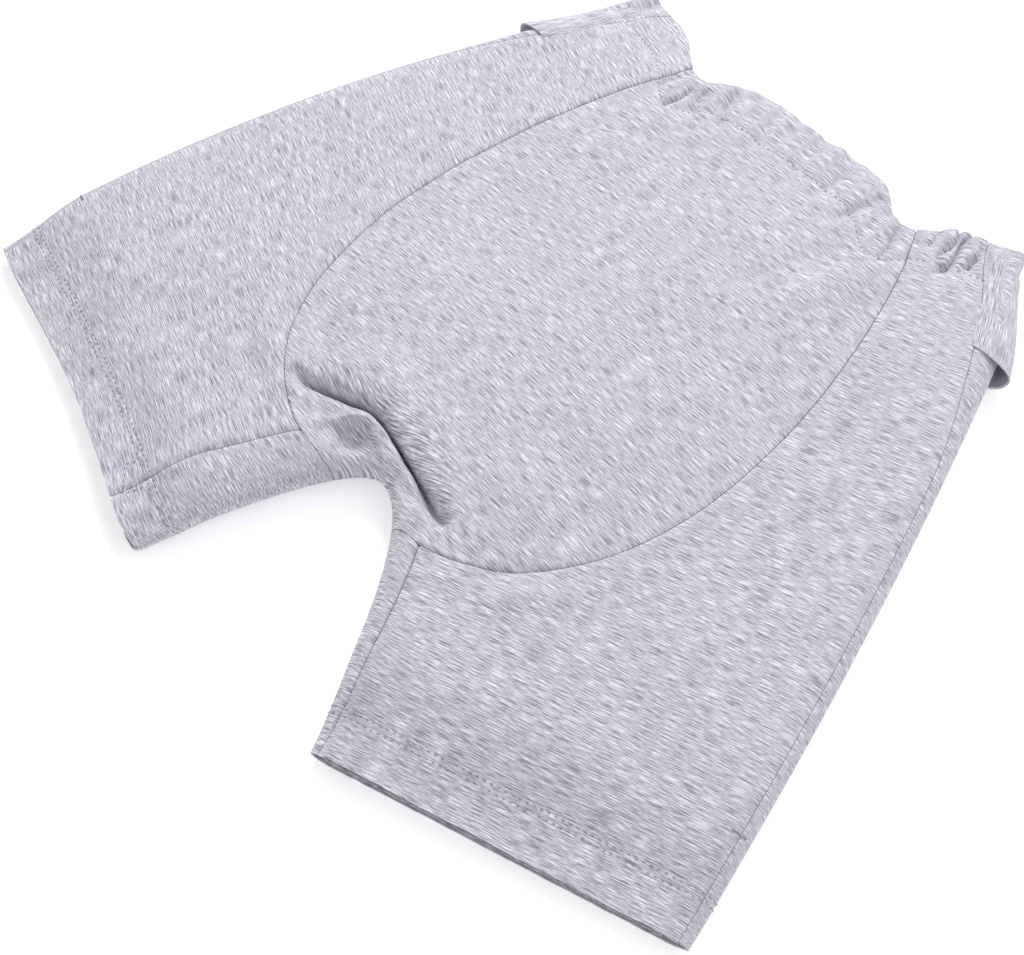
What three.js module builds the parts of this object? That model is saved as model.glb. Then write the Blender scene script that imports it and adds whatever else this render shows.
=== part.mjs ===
// Padded impact shorts in knitted jersey, lying flat with the front face up. Millimetres.
// +X points to the wearer's left, +Y to the waist and +Z up from the surface the shorts lie on.
// The origin is on that surface, under the middle of the garment.
//
// Every layer follows one surface. A point of it is found from its place in the flat outline: the top
// sheet and the bottom sheet meet at the folds (the two outer sides and the crotch), where they round
// over. Lining layers lie at a depth below the outside, so they never touch each other.
import * as THREE from "three";

// ---- Overall sizes: the rest of the cut is a share of the width or the length ----
const OVERALL_WIDTH = 582; // across the outer corners of the two hems
const OVERALL_LENGTH = 514; // waist corners to the inner corners of the hems
const WAIST_WIDTH = 0.5395 * OVERALL_WIDTH; // relaxed, laid flat
const RISE = 0.753 * OVERALL_LENGTH; // waist corners down to the fold of the crotch
const LEG_OPENING = 0.361 * OVERALL_WIDTH; // left hem, laid flat
const LEG_SPLAY = THREE.MathUtils.degToRad(19); // how far each leg turns out
const LEFT_SIDE_FULLNESS = 8; // how far the outer side bows out of a straight line, as it happens to lie
const RIGHT_SIDE_FULLNESS = 26;
const INSEAM_ROLL = 31; // the right leg lies rolled, so its inner fold is this much nearer the middle

// ---- Folds ----
const SIDE_FOLD_RADIUS = 16;
const INNER_FOLD_RADIUS = 14;
const ROLLED_FOLD_RADIUS = 34;
const CROTCH_FOLD_RADIUS = 22;

// ---- Seams ----
const SEAM_GAP = 0.8; // between two panels that are sewn edge to edge
const SEAM_AT_WAIST = 0.16 * OVERALL_WIDTH; // from the middle to the saddle seam, at the waist
const SADDLE_HALF_WIDTH = 0.237 * OVERALL_WIDTH; // from the middle to the saddle seam, at its widest
const JUNCTION_X = 0.086 * OVERALL_WIDTH; // where the saddle seam meets the inseam
const JUNCTION_DROP = 15; // below the crotch fold
const SIDE_SEAM_INSET = 6; // from the outer fold, on the front
const SIDE_SEAM_INSET_AT_WAIST = 24; // the seam swings in above the pull loop
const LEFT_INSEAM_INSET = 5; // from the inner fold, at the hem
const RIGHT_INSEAM_INSET = 34;

// ---- Waist edge ----
const WAIST_SAG = 21; // the middle of the edge lies this far below its corners
const WAIST_DIP = 24; // the gathers pull the edge down beside each saddle seam
const WAIST_DIP_X = 0.146 * OVERALL_WIDTH;
const WAIST_DIP_WIDTH = 22;

// ---- Layers ----
const FABRIC = 1.3; // jersey with its lining
const LAYER_GAP = 0.8;
const ELASTIC = 1;
const FACING = 1;
const LINING = 0.8;
const WAISTBAND_WIDTH = 33;
const CASING_EDGE = 2; // the elastic and its facing stop this far short of the waist edge
const HEM_WIDTH = 25;
const HEM_EDGE = 1.5;
const HEM_GAP = 1.5;

// ---- Pads and their pockets ----
const HIP_PAD_LENGTH = 0.35 * OVERALL_LENGTH;
const HIP_PAD_WIDTH = 0.158 * OVERALL_WIDTH;
const HIP_PAD_THICKNESS = 9;
const HIP_PAD_X = 0.275 * OVERALL_WIDTH;
const HIP_PAD_ABOVE_HEM = 0.296 * OVERALL_LENGTH; // its middle, square to the hem
const HIP_PAD_TILT = THREE.MathUtils.degToRad(14);
const TAIL_PAD_LENGTH = 0.253 * OVERALL_LENGTH;
const TAIL_PAD_WIDTH = 0.1925 * OVERALL_WIDTH;
const TAIL_PAD_THICKNESS = 7;
const TAIL_PAD_Y = 12;
const PAD_BEVEL = 3;
const PAD_EDGE_SQUARENESS = 2.6; // 2 is an ellipse
const PAD_CLEARANCE = 0.6;
const POCKET_MARGIN = 14; // pocket past its pad on each long side
const POCKET_FOOT = 0.045 * OVERALL_LENGTH; // and past the pad's lower end
const POCKET_HEM = 20; // the mouth's edge past the top of the pad

// ---- How high everything lies: the tail pad slides out over the waistband, and the hip pads over it ----
const WAISTBAND_STACK = FABRIC + 2 * LAYER_GAP + ELASTIC + FACING;
const TAIL_PAD_UNDERSIDE = WAISTBAND_STACK + PAD_CLEARANCE;
const HIP_PAD_UNDERSIDE = TAIL_PAD_UNDERSIDE + TAIL_PAD_THICKNESS + PAD_CLEARANCE;
const HIP_PAD_TOP = HIP_PAD_UNDERSIDE + HIP_PAD_THICKNESS;
const WAIST_HEIGHT = HIP_PAD_TOP + PAD_CLEARANCE + WAISTBAND_STACK;
const BODY_HEIGHT = WAIST_HEIGHT + 1;
const SEAT_CROWN = 5; // the middle of the body stands this much above the rest
const LEG_HEIGHT = HIP_PAD_TOP + FABRIC + 3 * PAD_CLEARANCE;
const HEM_HEIGHT = 12;
const ROLLED_HEM_HEIGHT = 19; // at the inner corner of the rolled right leg
const HEM_FALL = 60; // the length over which a leg comes down to its hem
const BACK_LIFT = 3.2; // how far the seat arches off what it lies on
const BACK_LIFT_REACH = 200; // half size of that arch
const BACK_RIPPLE = 0.3; // the back doesn't lie quite flat under the body

// ---- Pull loops ----
const LOOP_LENGTH = 60; // from its mouth up towards the waist edge
const LOOP_BELOW_WAIST = 80; // waist corner down to the loop's open mouth
const LOOP_REACH = 17; // how far its mouth stands out from the side fold
const LOOP_TOP_REACH = 5;
const LOOP_FABRIC = 1.3;
const LOOP_FRONT_INSET = 20; // from the side fold to the front end
const LOOP_BACK_INSET = 3;

// ---- Bar tacks ----
const TACK = [13, 3, 1.2];
const TACK_ABOVE_HEM = 55;

const LEFT = 1;
const RIGHT = -1;
const TOP_Y = OVERALL_LENGTH / 2;
const BOTTOM_Y = -OVERALL_LENGTH / 2;
const WAIST_HALF = WAIST_WIDTH / 2;
const CROTCH_Y = TOP_Y - RISE;
const CROTCH_ROW = 0.7; // the rows of the outline are numbered 0 at the waist to 1 at the hem
const CROTCH_ROW_ON_SIDE = 0.8;
const QUARTER = Math.PI / 2;

const { lerp, clamp, smoothstep } = THREE.MathUtils;
const flat = (x, y) => new THREE.Vector2(x, y);

// ---- The flat outline, for one half, with x counted away from the middle ----
const hemOuter = flat(OVERALL_WIDTH / 2, BOTTOM_Y + LEG_OPENING * Math.sin(LEG_SPLAY));
const leftHemInner = flat(hemOuter.x - LEG_OPENING * Math.cos(LEG_SPLAY), BOTTOM_Y);
const hemInner = { [LEFT]: leftHemInner, [RIGHT]: flat(leftHemInner.x - INSEAM_ROLL, BOTTOM_Y) };
const hemAlong = {};
for (const side of [LEFT, RIGHT]) hemAlong[side] = hemOuter.clone().sub(hemInner[side]).normalize();

const waistCorner = flat(WAIST_HALF, TOP_Y);
const junction = flat(JUNCTION_X, CROTCH_Y - JUNCTION_DROP);

function waistY(x) {
  const share = Math.min(1, Math.abs(x) / WAIST_HALF);
  const dip = Math.exp(-(((Math.abs(x) - WAIST_DIP_X) / WAIST_DIP_WIDTH) ** 2));
  return TOP_Y - WAIST_SAG * (1 - share ** 3) - WAIST_DIP * dip;
}

function makeSideEdge(side) {
  const fullness = side === LEFT ? LEFT_SIDE_FULLNESS : RIGHT_SIDE_FULLNESS;
  const middle = waistCorner.clone().lerp(hemOuter, 0.5);
  const down = hemOuter.clone().sub(waistCorner).normalize();
  const control = middle.add(flat(-down.y, down.x).multiplyScalar(2 * fullness));
  return new THREE.QuadraticBezierCurve(waistCorner, control, hemOuter);
}

function makeInnerEdge(side) {
  const end = hemInner[side];
  const level = flat(0.32 * end.x, CROTCH_Y);
  const steep = flat(0.72 * end.x, lerp(CROTCH_Y, BOTTOM_Y, 0.55));
  return new THREE.CubicBezierCurve(flat(0, CROTCH_Y), level, steep, end);
}

function makeSaddleSeam() {
  const start = flat(SEAM_AT_WAIST, waistY(SEAM_AT_WAIST));
  const pull = (8 * SADDLE_HALF_WIDTH - start.x - junction.x) / 3; // puts the curve's middle at its width
  const upper = flat(0.44 * pull, lerp(start.y, junction.y, 0.29));
  const lower = flat(0.56 * pull, lerp(start.y, junction.y, 0.9));
  return new THREE.CubicBezierCurve(start, upper, lower, junction);
}

function makeInseam(side) {
  const inset = side === LEFT ? LEFT_INSEAM_INSET : RIGHT_INSEAM_INSET;
  const end = hemInner[side].clone().addScaledVector(hemAlong[side], inset);
  const middle = junction.clone().lerp(end, 0.5).add(flat(6, 5));
  return new THREE.QuadraticBezierCurve(junction, middle, end);
}

const sideEdge = { [LEFT]: makeSideEdge(LEFT), [RIGHT]: makeSideEdge(RIGHT) };
const innerEdge = { [LEFT]: makeInnerEdge(LEFT), [RIGHT]: makeInnerEdge(RIGHT) };
const saddleSeam = makeSaddleSeam();
const inseam = { [LEFT]: makeInseam(LEFT), [RIGHT]: makeInseam(RIGHT) };

// ---- Folds: how far a point is from the nearest one ----
const FOLD_STEPS = 60;

function foldRadius(side, share) {
  const radius = side === LEFT ? INNER_FOLD_RADIUS : ROLLED_FOLD_RADIUS;
  return lerp(CROTCH_FOLD_RADIUS, radius, smoothstep(share, 0, 0.5));
}

const folds = {};
for (const side of [LEFT, RIGHT]) {
  folds[side] = [
    { points: sideEdge[side].getPoints(FOLD_STEPS), inward: 1, radius: () => SIDE_FOLD_RADIUS },
    { points: innerEdge[side].getPoints(FOLD_STEPS), inward: -1, radius: (t) => foldRadius(side, t) },
  ];
}

function nearestFold(side, point) {
  let best = { share: Infinity };
  for (const fold of folds[side]) {
    for (let i = 0; i < FOLD_STEPS; i++) {
      const a = fold.points[i];
      const along = fold.points[i + 1].clone().sub(a);
      const t = clamp(point.clone().sub(a).dot(along) / along.lengthSq(), 0, 1);
      const distance = a.clone().addScaledVector(along, t).distanceTo(point);
      const radius = fold.radius((i + t) / FOLD_STEPS);
      if (distance / radius < best.share) {
        const normal = flat(along.y, -along.x).normalize().multiplyScalar(fold.inward);
        best = { share: distance / radius, normal };
      }
    }
  }
  return best;
}

// ---- Height of the lying garment ----
function hemDistance(side, point) {
  const up = flat(-hemAlong[side].y, hemAlong[side].x);
  return point.clone().sub(hemInner[side]).dot(up);
}

function heightAt(side, point) {
  const crown = SEAT_CROWN * Math.exp(-((point.x / 110) ** 2) - ((point.y + 40) / 110) ** 2);
  const outward = smoothstep(point.x, 60, 190);
  const trunk = lerp(BODY_HEIGHT, LEG_HEIGHT, outward) + crown;
  const body = lerp(trunk, WAIST_HEIGHT, smoothstep(point.y, TOP_Y - 120, TOP_Y - 50));
  const inner = side === LEFT ? HEM_HEIGHT : ROLLED_HEM_HEIGHT;
  const hem = lerp(inner, HEM_HEIGHT, smoothstep(point.x, hemInner[side].x, hemOuter.x - 40));
  return lerp(hem, body, smoothstep(hemDistance(side, point), 0, HEM_FALL));
}

function rippleAt(side, point) {
  const wave = (2 + Math.sin(point.x / 25) + Math.cos(point.y / 27)) / 4;
  const belowWaist = smoothstep(TOP_Y - point.y, 80, 160);
  const fromMiddle = Math.hypot(point.x, point.y + 20) / BACK_LIFT_REACH;
  const arch = BACK_LIFT * Math.cos(QUARTER * Math.min(1, fromMiddle));
  return (arch + BACK_RIPPLE * wave) * belowWaist * smoothstep(hemDistance(side, point), 30, 90);
}

// A point of the garment: on the top or the bottom sheet, at a depth below the outside.
function onGarment(side, point, top, depth, seamed = false) {
  const fold = nearestFold(side, point);
  const half = heightAt(side, point) / 2;
  const open = 1 - Math.min(1, fold.share);
  const smallest = seamed ? SEAM_GAP / 2 / half : 0;
  const swell = Math.max(smallest, Math.sqrt(Math.max(0, 1 - open ** 2)));
  const place = point.clone().addScaledVector(fold.normal, depth * open);
  const rise = top ? half - depth : depth - half + rippleAt(side, point);
  const z = half + rise * swell;
  return new THREE.Vector3(side * place.x, place.y, z);
}

// ---- Rows across one half, from the middle or the inner fold to the side fold ----
function rowEnds(side, row) {
  if (row < CROTCH_ROW) {
    const share = row / CROTCH_ROW;
    const inner = flat(0, lerp(waistY(0), CROTCH_Y, share));
    return [inner, sideEdge[side].getPoint(CROTCH_ROW_ON_SIDE * share)];
  }
  const share = (row - CROTCH_ROW) / (1 - CROTCH_ROW);
  return [innerEdge[side].getPoint(share), sideEdge[side].getPoint(lerp(CROTCH_ROW_ON_SIDE, 1, share))];
}

function inOutline(side, across, row) {
  const [inner, outer] = rowEnds(side, row);
  const point = inner.clone().lerp(outer, across);
  const [first, last] = rowEnds(side, 0);
  const straight = lerp(first.y, last.y, clamp(point.x / last.x, 0, 1));
  const fade = Math.max(0, 1 - row / (CROTCH_ROW / 2)) ** 2;
  point.y += fade * (waistY(point.x) - straight);
  return point;
}

// The inverse: how far across which row a point lies.
function rowOf(side, point) {
  let low = 0;
  let high = 1;
  const acrossAt = (row) => {
    const [inner, outer] = rowEnds(side, row);
    return (point.x - inner.x) / (outer.x - inner.x);
  };
  for (let i = 0; i < 40; i++) {
    const row = (low + high) / 2;
    if (inOutline(side, acrossAt(row), row).y > point.y) low = row;
    else high = row;
  }
  return { row: low, across: acrossAt(low) };
}

// Distance round a row's loop, unrolled so that even steps also go evenly round the folds.
// 0 is the side fold, the bottom sheet follows, and past the inner fold comes the top sheet.
function loopOf(side, row) {
  const [inner, outer] = rowEnds(side, row);
  const share = smoothstep(row, CROTCH_ROW, CROTCH_ROW + 0.06);
  const innerRadius = share * foldRadius(side, (row - CROTCH_ROW) / (1 - CROTCH_ROW));
  const length = inner.distanceTo(outer);
  const straight = length - SIDE_FOLD_RADIUS - innerRadius;
  const turn = SIDE_FOLD_RADIUS * QUARTER;
  return { innerRadius, length, straight, turn, half: turn + straight + innerRadius * QUARTER };
}

function unroll(loop, fromSide) {
  if (fromSide < SIDE_FOLD_RADIUS) return SIDE_FOLD_RADIUS * Math.acos(1 - fromSide / SIDE_FOLD_RADIUS);
  const fromInner = loop.length - fromSide;
  if (fromInner >= loop.innerRadius) return loop.turn + fromSide - SIDE_FOLD_RADIUS;
  return loop.half - loop.innerRadius * Math.acos(1 - fromInner / loop.innerRadius);
}

function rollUp(loop, along) {
  if (along < loop.turn) return SIDE_FOLD_RADIUS * (1 - Math.cos(along / SIDE_FOLD_RADIUS));
  if (along <= loop.turn + loop.straight) return SIDE_FOLD_RADIUS + along - loop.turn;
  return loop.length - loop.innerRadius * (1 - Math.cos((loop.half - along) / loop.innerRadius));
}

function onLoop(side, along, row, depth) {
  const loop = loopOf(side, row);
  const top = along < 0 || along > loop.half;
  const fromSide = rollUp(loop, along > loop.half ? 2 * loop.half - along : Math.abs(along));
  return onGarment(side, inOutline(side, 1 - fromSide / loop.length, row), top, depth);
}

// ---- Builders ----
const JERSEY = { color: 0xcdcdd8, roughness: 0.92, metalness: 0 };
const LINING_KNIT = { color: 0xdcdce2, roughness: 0.9, metalness: 0 };
const ELASTIC_KNIT = { color: 0xf0f0ee, roughness: 0.8, metalness: 0 };
const FOAM = { color: 0x34363b, roughness: 0.85, metalness: 0 };
const THREAD = { color: 0xb9b9c6, roughness: 0.7, metalness: 0 };

const shorts = new THREE.Group();

function turnOutward(geometry) {
  const p = geometry.getAttribute("position");
  const index = geometry.getIndex();
  const corner = (i) => new THREE.Vector3().fromBufferAttribute(p, index.getX(i));
  let volume = 0;
  for (let i = 0; i < index.count; i += 3) {
    volume += corner(i).dot(corner(i + 1).cross(corner(i + 2)));
  }
  if (volume > 0) return;
  for (let i = 0; i < index.count; i += 3) {
    const kept = index.getX(i);
    index.setX(i, index.getX(i + 1));
    index.setX(i + 1, kept);
  }
}

function addMesh(name, geometry, finish) {
  const mesh = new THREE.Mesh(geometry, new THREE.MeshStandardMaterial(finish));
  mesh.name = name;
  shorts.add(mesh);
  return mesh;
}

// A thin closed sheet: a flat box bent to place(u, v, depth), with depth 0 outside and 1 inside.
function addSheet(name, finish, across, along, place) {
  const geometry = new THREE.BoxGeometry(1, 1, 1, across, along, 1);
  const p = geometry.getAttribute("position");
  for (let i = 0; i < p.count; i++) {
    const point = place(p.getX(i) + 0.5, 0.5 - p.getY(i), 0.5 - p.getZ(i));
    p.setXYZ(i, point.x, point.y, point.z);
  }
  turnOutward(geometry);
  geometry.computeVertexNormals();
  return addMesh(name, geometry, finish);
}

// A patch of the plane between four curves, each a function of 0 to 1.
function patch(west, east, north, south) {
  return (u, v) => {
    const point = west(v).clone().lerp(east(v), u);
    point.add(north(u).clone().lerp(south(u), v));
    const upper = west(0).clone().lerp(east(0), u);
    const lower = west(1).clone().lerp(east(1), u);
    return point.sub(upper.lerp(lower, v));
  };
}

// A point of a seam, moved half the seam's gap to one side of it.
function besideSeam(curve, t, outward) {
  const tangent = curve.getTangent(t);
  const normal = flat(-tangent.y, tangent.x).normalize();
  return curve.getPoint(t).addScaledVector(normal, (outward * SEAM_GAP) / 2);
}

// Rows of a panel's mesh beside the saddle seam, across the crotch and beside the inseam. Panels that
// share a seam share its rows, so that their edges run side by side.
const SEAM_ROWS = 11;
const CROTCH_ROWS = 2;
const INSEAM_ROWS = 5;
const SADDLE_COLUMNS = 10;

const middleFacing = (point, side) => flat(side * point.x, point.y);
const junctionRow = { [LEFT]: rowOf(LEFT, junction), [RIGHT]: rowOf(RIGHT, junction) };
const ROW_GAP = SEAM_GAP / 2 / RISE;

// The saddle: one panel in front and one behind, meeting along the crotch fold.
function crotchLine(u) {
  const side = u < 0.5 ? RIGHT : LEFT;
  const share = Math.abs(u - 0.5) * 2; // 0 at the crotch, 1 at the junction
  const row = junctionRow[side].row - ROW_GAP;
  const turnAt = 1 - 4 / SADDLE_COLUMNS;
  if (share < turnAt) {
    return middleFacing(inOutline(side, 0, lerp(CROTCH_ROW, row, share / turnAt)), side);
  }
  const across = junctionRow[side].across * ((share - turnAt) / (1 - turnAt));
  return middleFacing(inOutline(side, across, row), side);
}

function addSaddle(name, top) {
  const reach = SEAM_AT_WAIST - SEAM_GAP / 2;
  const inPlane = patch(
    (v) => middleFacing(besideSeam(saddleSeam, v, -1), RIGHT),
    (v) => middleFacing(besideSeam(saddleSeam, v, -1), LEFT),
    (u) => flat(lerp(-reach, reach, u), waistY(lerp(-reach, reach, u))),
    crotchLine,
  );
  addSheet(name, JERSEY, SADDLE_COLUMNS, SEAM_ROWS, (u, v, depth) => {
    const point = inPlane(u, v);
    const side = point.x < 0 ? RIGHT : LEFT;
    return onGarment(side, middleFacing(point, side), top, depth * FABRIC, true);
  });
}

// The front of a leg: saddle seam and inseam inside, side seam outside.
const SEAM_SHARE = SEAM_ROWS / (SEAM_ROWS + INSEAM_ROWS); // of the inner edge that is saddle seam

function legInnerSeam(side, t, outward) {
  if (t <= SEAM_SHARE) return besideSeam(saddleSeam, t / SEAM_SHARE, outward);
  return besideSeam(inseam[side], (t - SEAM_SHARE) / (1 - SEAM_SHARE), outward);
}

function sideSeamInset(row) {
  return lerp(SIDE_SEAM_INSET_AT_WAIST, SIDE_SEAM_INSET, smoothstep(row, 0, 0.35));
}

function sideSeam(side, row, outward) {
  const inset = sideSeamInset(row) - (outward * SEAM_GAP) / 2;
  return inOutline(side, 1 - inset / loopOf(side, row).length, row);
}

function addLegFront(name, side) {
  const inPlane = patch(
    (v) => legInnerSeam(side, v, 1),
    (v) => sideSeam(side, v, -1),
    (u) => {
      const x = lerp(legInnerSeam(side, 0, 1).x, sideSeam(side, 0, -1).x, u);
      return flat(x, waistY(x));
    },
    (u) => legInnerSeam(side, 1, 1).lerp(sideSeam(side, 1, -1), u),
  );
  addSheet(name, JERSEY, 7, SEAM_ROWS + INSEAM_ROWS, (u, v, depth) =>
    onGarment(side, inPlane(u, v), true, depth * FABRIC),
  );
}

// The back of a leg: from the side seam on the front, round the side fold, across the back, and up
// to the back saddle seam, or round the inner fold to the inseam below the junction.
const LEG_BACK_ROWS = SEAM_ROWS + CROTCH_ROWS + INSEAM_ROWS;
const ABOVE_CROTCH = SEAM_ROWS / LEG_BACK_ROWS;
const BELOW_CROTCH = 1 - INSEAM_ROWS / LEG_BACK_ROWS;

function legBackStart(side, t) {
  const { row: rowAtJunction, across } = junctionRow[side];
  const meet = rowAtJunction + ROW_GAP;
  const loopAt = (row, fromSide) => unroll(loopOf(side, row), fromSide);
  if (t < ABOVE_CROTCH) {
    const found = rowOf(side, besideSeam(saddleSeam, t / ABOVE_CROTCH, 1));
    const row = Math.max(0, found.row);
    const loop = loopOf(side, row);
    return { along: loopAt(row, (1 - found.across) * loop.length), row };
  }
  if (t <= BELOW_CROTCH) {
    const loop = loopOf(side, meet);
    const atSeam = loopAt(meet, (1 - across) * loop.length);
    const share = (t - ABOVE_CROTCH) / (BELOW_CROTCH - ABOVE_CROTCH);
    return { along: lerp(atSeam, 2 * loop.half - atSeam, share), row: meet };
  }
  const share = (t - BELOW_CROTCH) / (1 - BELOW_CROTCH);
  const found = rowOf(side, besideSeam(inseam[side], share, -1));
  const row = Math.min(1, found.row);
  const loop = loopOf(side, row);
  return { along: 2 * loop.half - loopAt(row, (1 - found.across) * loop.length), row };
}

function addLegBack(name, side) {
  const fan = 0.05; // rows spread from the junction by this much on the side seam
  const meet = junctionRow[side].row;
  const sideRow = (t) => {
    if (t < ABOVE_CROTCH) return lerp(0, meet - fan, t / ABOVE_CROTCH);
    if (t > BELOW_CROTCH) return lerp(meet + fan, 1, (t - BELOW_CROTCH) / (1 - BELOW_CROTCH));
    return lerp(meet - fan, meet + fan, (t - ABOVE_CROTCH) / (BELOW_CROTCH - ABOVE_CROTCH));
  };
  addSheet(name, JERSEY, 26, LEG_BACK_ROWS, (u, v, depth) => {
    const start = legBackStart(side, v);
    const row = lerp(sideRow(v), start.row, u);
    const begin = -unroll(loopOf(side, row), sideSeamInset(row) - SEAM_GAP / 2);
    return onLoop(side, lerp(begin, start.along, u), row, depth * FABRIC);
  });
}

// ---- Bands: strips that run all round an opening, with their ends meeting ----
function addWaistBand(name, finish, outside, thickness) {
  const inset = 0.3; // half the gap between the strip's two ends, at the middle of the back
  const bandRow = (x, v) => waistY(x) - CASING_EDGE - v * (WAISTBAND_WIDTH - CASING_EDGE);
  addSheet(name, finish, 56, 1, (u, v, depth) => {
    const side = u < 0.5 ? LEFT : RIGHT;
    const loop = loopOf(side, 0);
    const turn = u < 0.5 ? 2 * u : 2 - 2 * u; // 0 at the middle of the back, 1 at the middle of the front
    const along = lerp(loop.half - inset, -loop.half, turn);
    const fromSide = rollUp(loop, Math.abs(along));
    const edge = inOutline(side, 1 - fromSide / loop.length, 0);
    const y = bandRow(edge.x, v);
    const { row } = rowOf(side, flat(Math.min(edge.x, WAIST_HALF - 1), y));
    const [, outer] = rowEnds(side, row);
    const widened = flat(edge.x * (outer.x / WAIST_HALF), y);
    return onGarment(side, widened, along < 0, outside + depth * thickness);
  });
}

function addHemFacing(name, side) {
  const joinFromSide = 60; // its two ends meet on the front of the leg
  addSheet(name, JERSEY, 38, 2, (u, v, depth) => {
    const loop = loopOf(side, 1);
    const start = -unroll(loop, joinFromSide) + 0.3;
    const along = lerp(start, start + 2 * loop.half - 0.6, u);
    const wrapped = along > loop.half ? along - 2 * loop.half : along;
    const fromSide = rollUp(loop, Math.abs(wrapped));
    const base = inOutline(side, 1 - fromSide / loop.length, 1);
    const share = fromSide / loop.length;
    const up = lerp(HEM_EDGE, HEM_WIDTH, v);
    const outerEdge = sideEdge[side].getTangent(1).multiplyScalar(-up);
    const innerDirection = innerEdge[side].getTangent(1).multiplyScalar(-up);
    const point = base.add(outerEdge.lerp(innerDirection, share));
    return onGarment(side, point, wrapped < 0, FABRIC + HEM_GAP + depth * FACING);
  });
}

// ---- Pads ----
function padShape(length, width, taper) {
  const power = 2 / PAD_EDGE_SQUARENESS;
  const rounded = (value) => Math.sign(value) * Math.abs(value) ** power;
  const points = [];
  const steps = 36;
  for (let i = 0; i < steps; i++) {
    const angle = (i / steps) * 2 * Math.PI;
    const y = (length / 2 - PAD_BEVEL) * rounded(Math.sin(angle));
    const x = (width / 2 - PAD_BEVEL) * rounded(Math.cos(angle)) * (1 - (taper * y) / length);
    points.push(flat(x, y));
  }
  return new THREE.Shape(points);
}

function padGeometry(length, width, thickness, taper) {
  const geometry = new THREE.ExtrudeGeometry(padShape(length, width, taper), {
    depth: thickness - 2 * PAD_BEVEL,
    bevelThickness: PAD_BEVEL,
    bevelSize: PAD_BEVEL,
    bevelSegments: 2,
    curveSegments: 1,
  });
  return geometry.translate(0, 0, PAD_BEVEL);
}

function hipPadCentre(side) {
  const up = flat(-hemAlong[LEFT].y, hemAlong[LEFT].x);
  const foot = leftHemInner.clone();
  const fall = (HIP_PAD_X - foot.x - HIP_PAD_ABOVE_HEM * up.x) / hemAlong[LEFT].x;
  const centre = foot.addScaledVector(hemAlong[LEFT], fall).addScaledVector(up, HIP_PAD_ABOVE_HEM);
  return flat(side * centre.x, centre.y);
}

function addHipPad(name, side) {
  const geometry = padGeometry(HIP_PAD_LENGTH, HIP_PAD_WIDTH, HIP_PAD_THICKNESS, 0.08);
  const pad = addMesh(name, geometry, FOAM);
  const centre = hipPadCentre(side);
  pad.position.set(centre.x, centre.y, HIP_PAD_UNDERSIDE);
  pad.rotation.z = side * HIP_PAD_TILT;
}

function addTailPad(name) {
  const geometry = padGeometry(TAIL_PAD_LENGTH, TAIL_PAD_WIDTH, TAIL_PAD_THICKNESS, -0.3);
  const pad = addMesh(name, geometry, FOAM);
  pad.position.set(0, TAIL_PAD_Y, TAIL_PAD_UNDERSIDE);
}

// ---- Pad pockets: a lining sewn to the shell on three sides and open towards the waist ----
function sewnEdge(u, v) {
  const side = smoothstep(Math.abs(2 * u - 1), 0.81, 1);
  const foot = smoothstep(v, 0.91, 1);
  return Math.max(side, foot);
}

function addHipPocket(name, side) {
  const half = flat(HIP_PAD_WIDTH / 2 + POCKET_MARGIN, HIP_PAD_LENGTH / 2 + POCKET_FOOT);
  const centre = hipPadCentre(side);
  const floor = HIP_PAD_UNDERSIDE - PAD_CLEARANCE - LINING;
  const widest = SIDE_FOLD_RADIUS + 2;
  addSheet(name, LINING_KNIT, 11, 11, (u, v, depth) => {
    const local = flat((2 * u - 1) * half.x, lerp(HIP_PAD_LENGTH / 2 + POCKET_HEM, -half.y, v));
    const point = local.rotateAround(flat(0, 0), side * HIP_PAD_TILT).add(centre);
    const place = flat(side * point.x, point.y);
    const { row, across } = rowOf(side, place);
    const length = loopOf(side, row).length;
    const kept = inOutline(side, Math.min(across, 1 - widest / length), row);
    const shell = onGarment(side, kept, true, FABRIC + 2 * LAYER_GAP);
    const z = lerp(floor + LINING, shell.z, sewnEdge(u, v)) - depth * LINING;
    return new THREE.Vector3(side * kept.x, kept.y, z);
  });
}

function addTailPocket(name) {
  const half = flat(TAIL_PAD_WIDTH / 2 + POCKET_MARGIN, TAIL_PAD_LENGTH / 2 + POCKET_FOOT);
  addSheet(name, LINING_KNIT, 11, 11, (u, v, depth) => {
    const x = (2 * u - 1) * half.x;
    const y = TAIL_PAD_Y + lerp(TAIL_PAD_LENGTH / 2 + POCKET_HEM, -half.y, v);
    const over = TAIL_PAD_UNDERSIDE + TAIL_PAD_THICKNESS + PAD_CLEARANCE;
    const side = x < 0 ? RIGHT : LEFT;
    const shell = onGarment(side, flat(Math.abs(x), y), false, FABRIC + LAYER_GAP);
    const z = lerp(over, shell.z, sewnEdge(u, v)) + depth * LINING;
    return new THREE.Vector3(x, y, z);
  });
}

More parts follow.
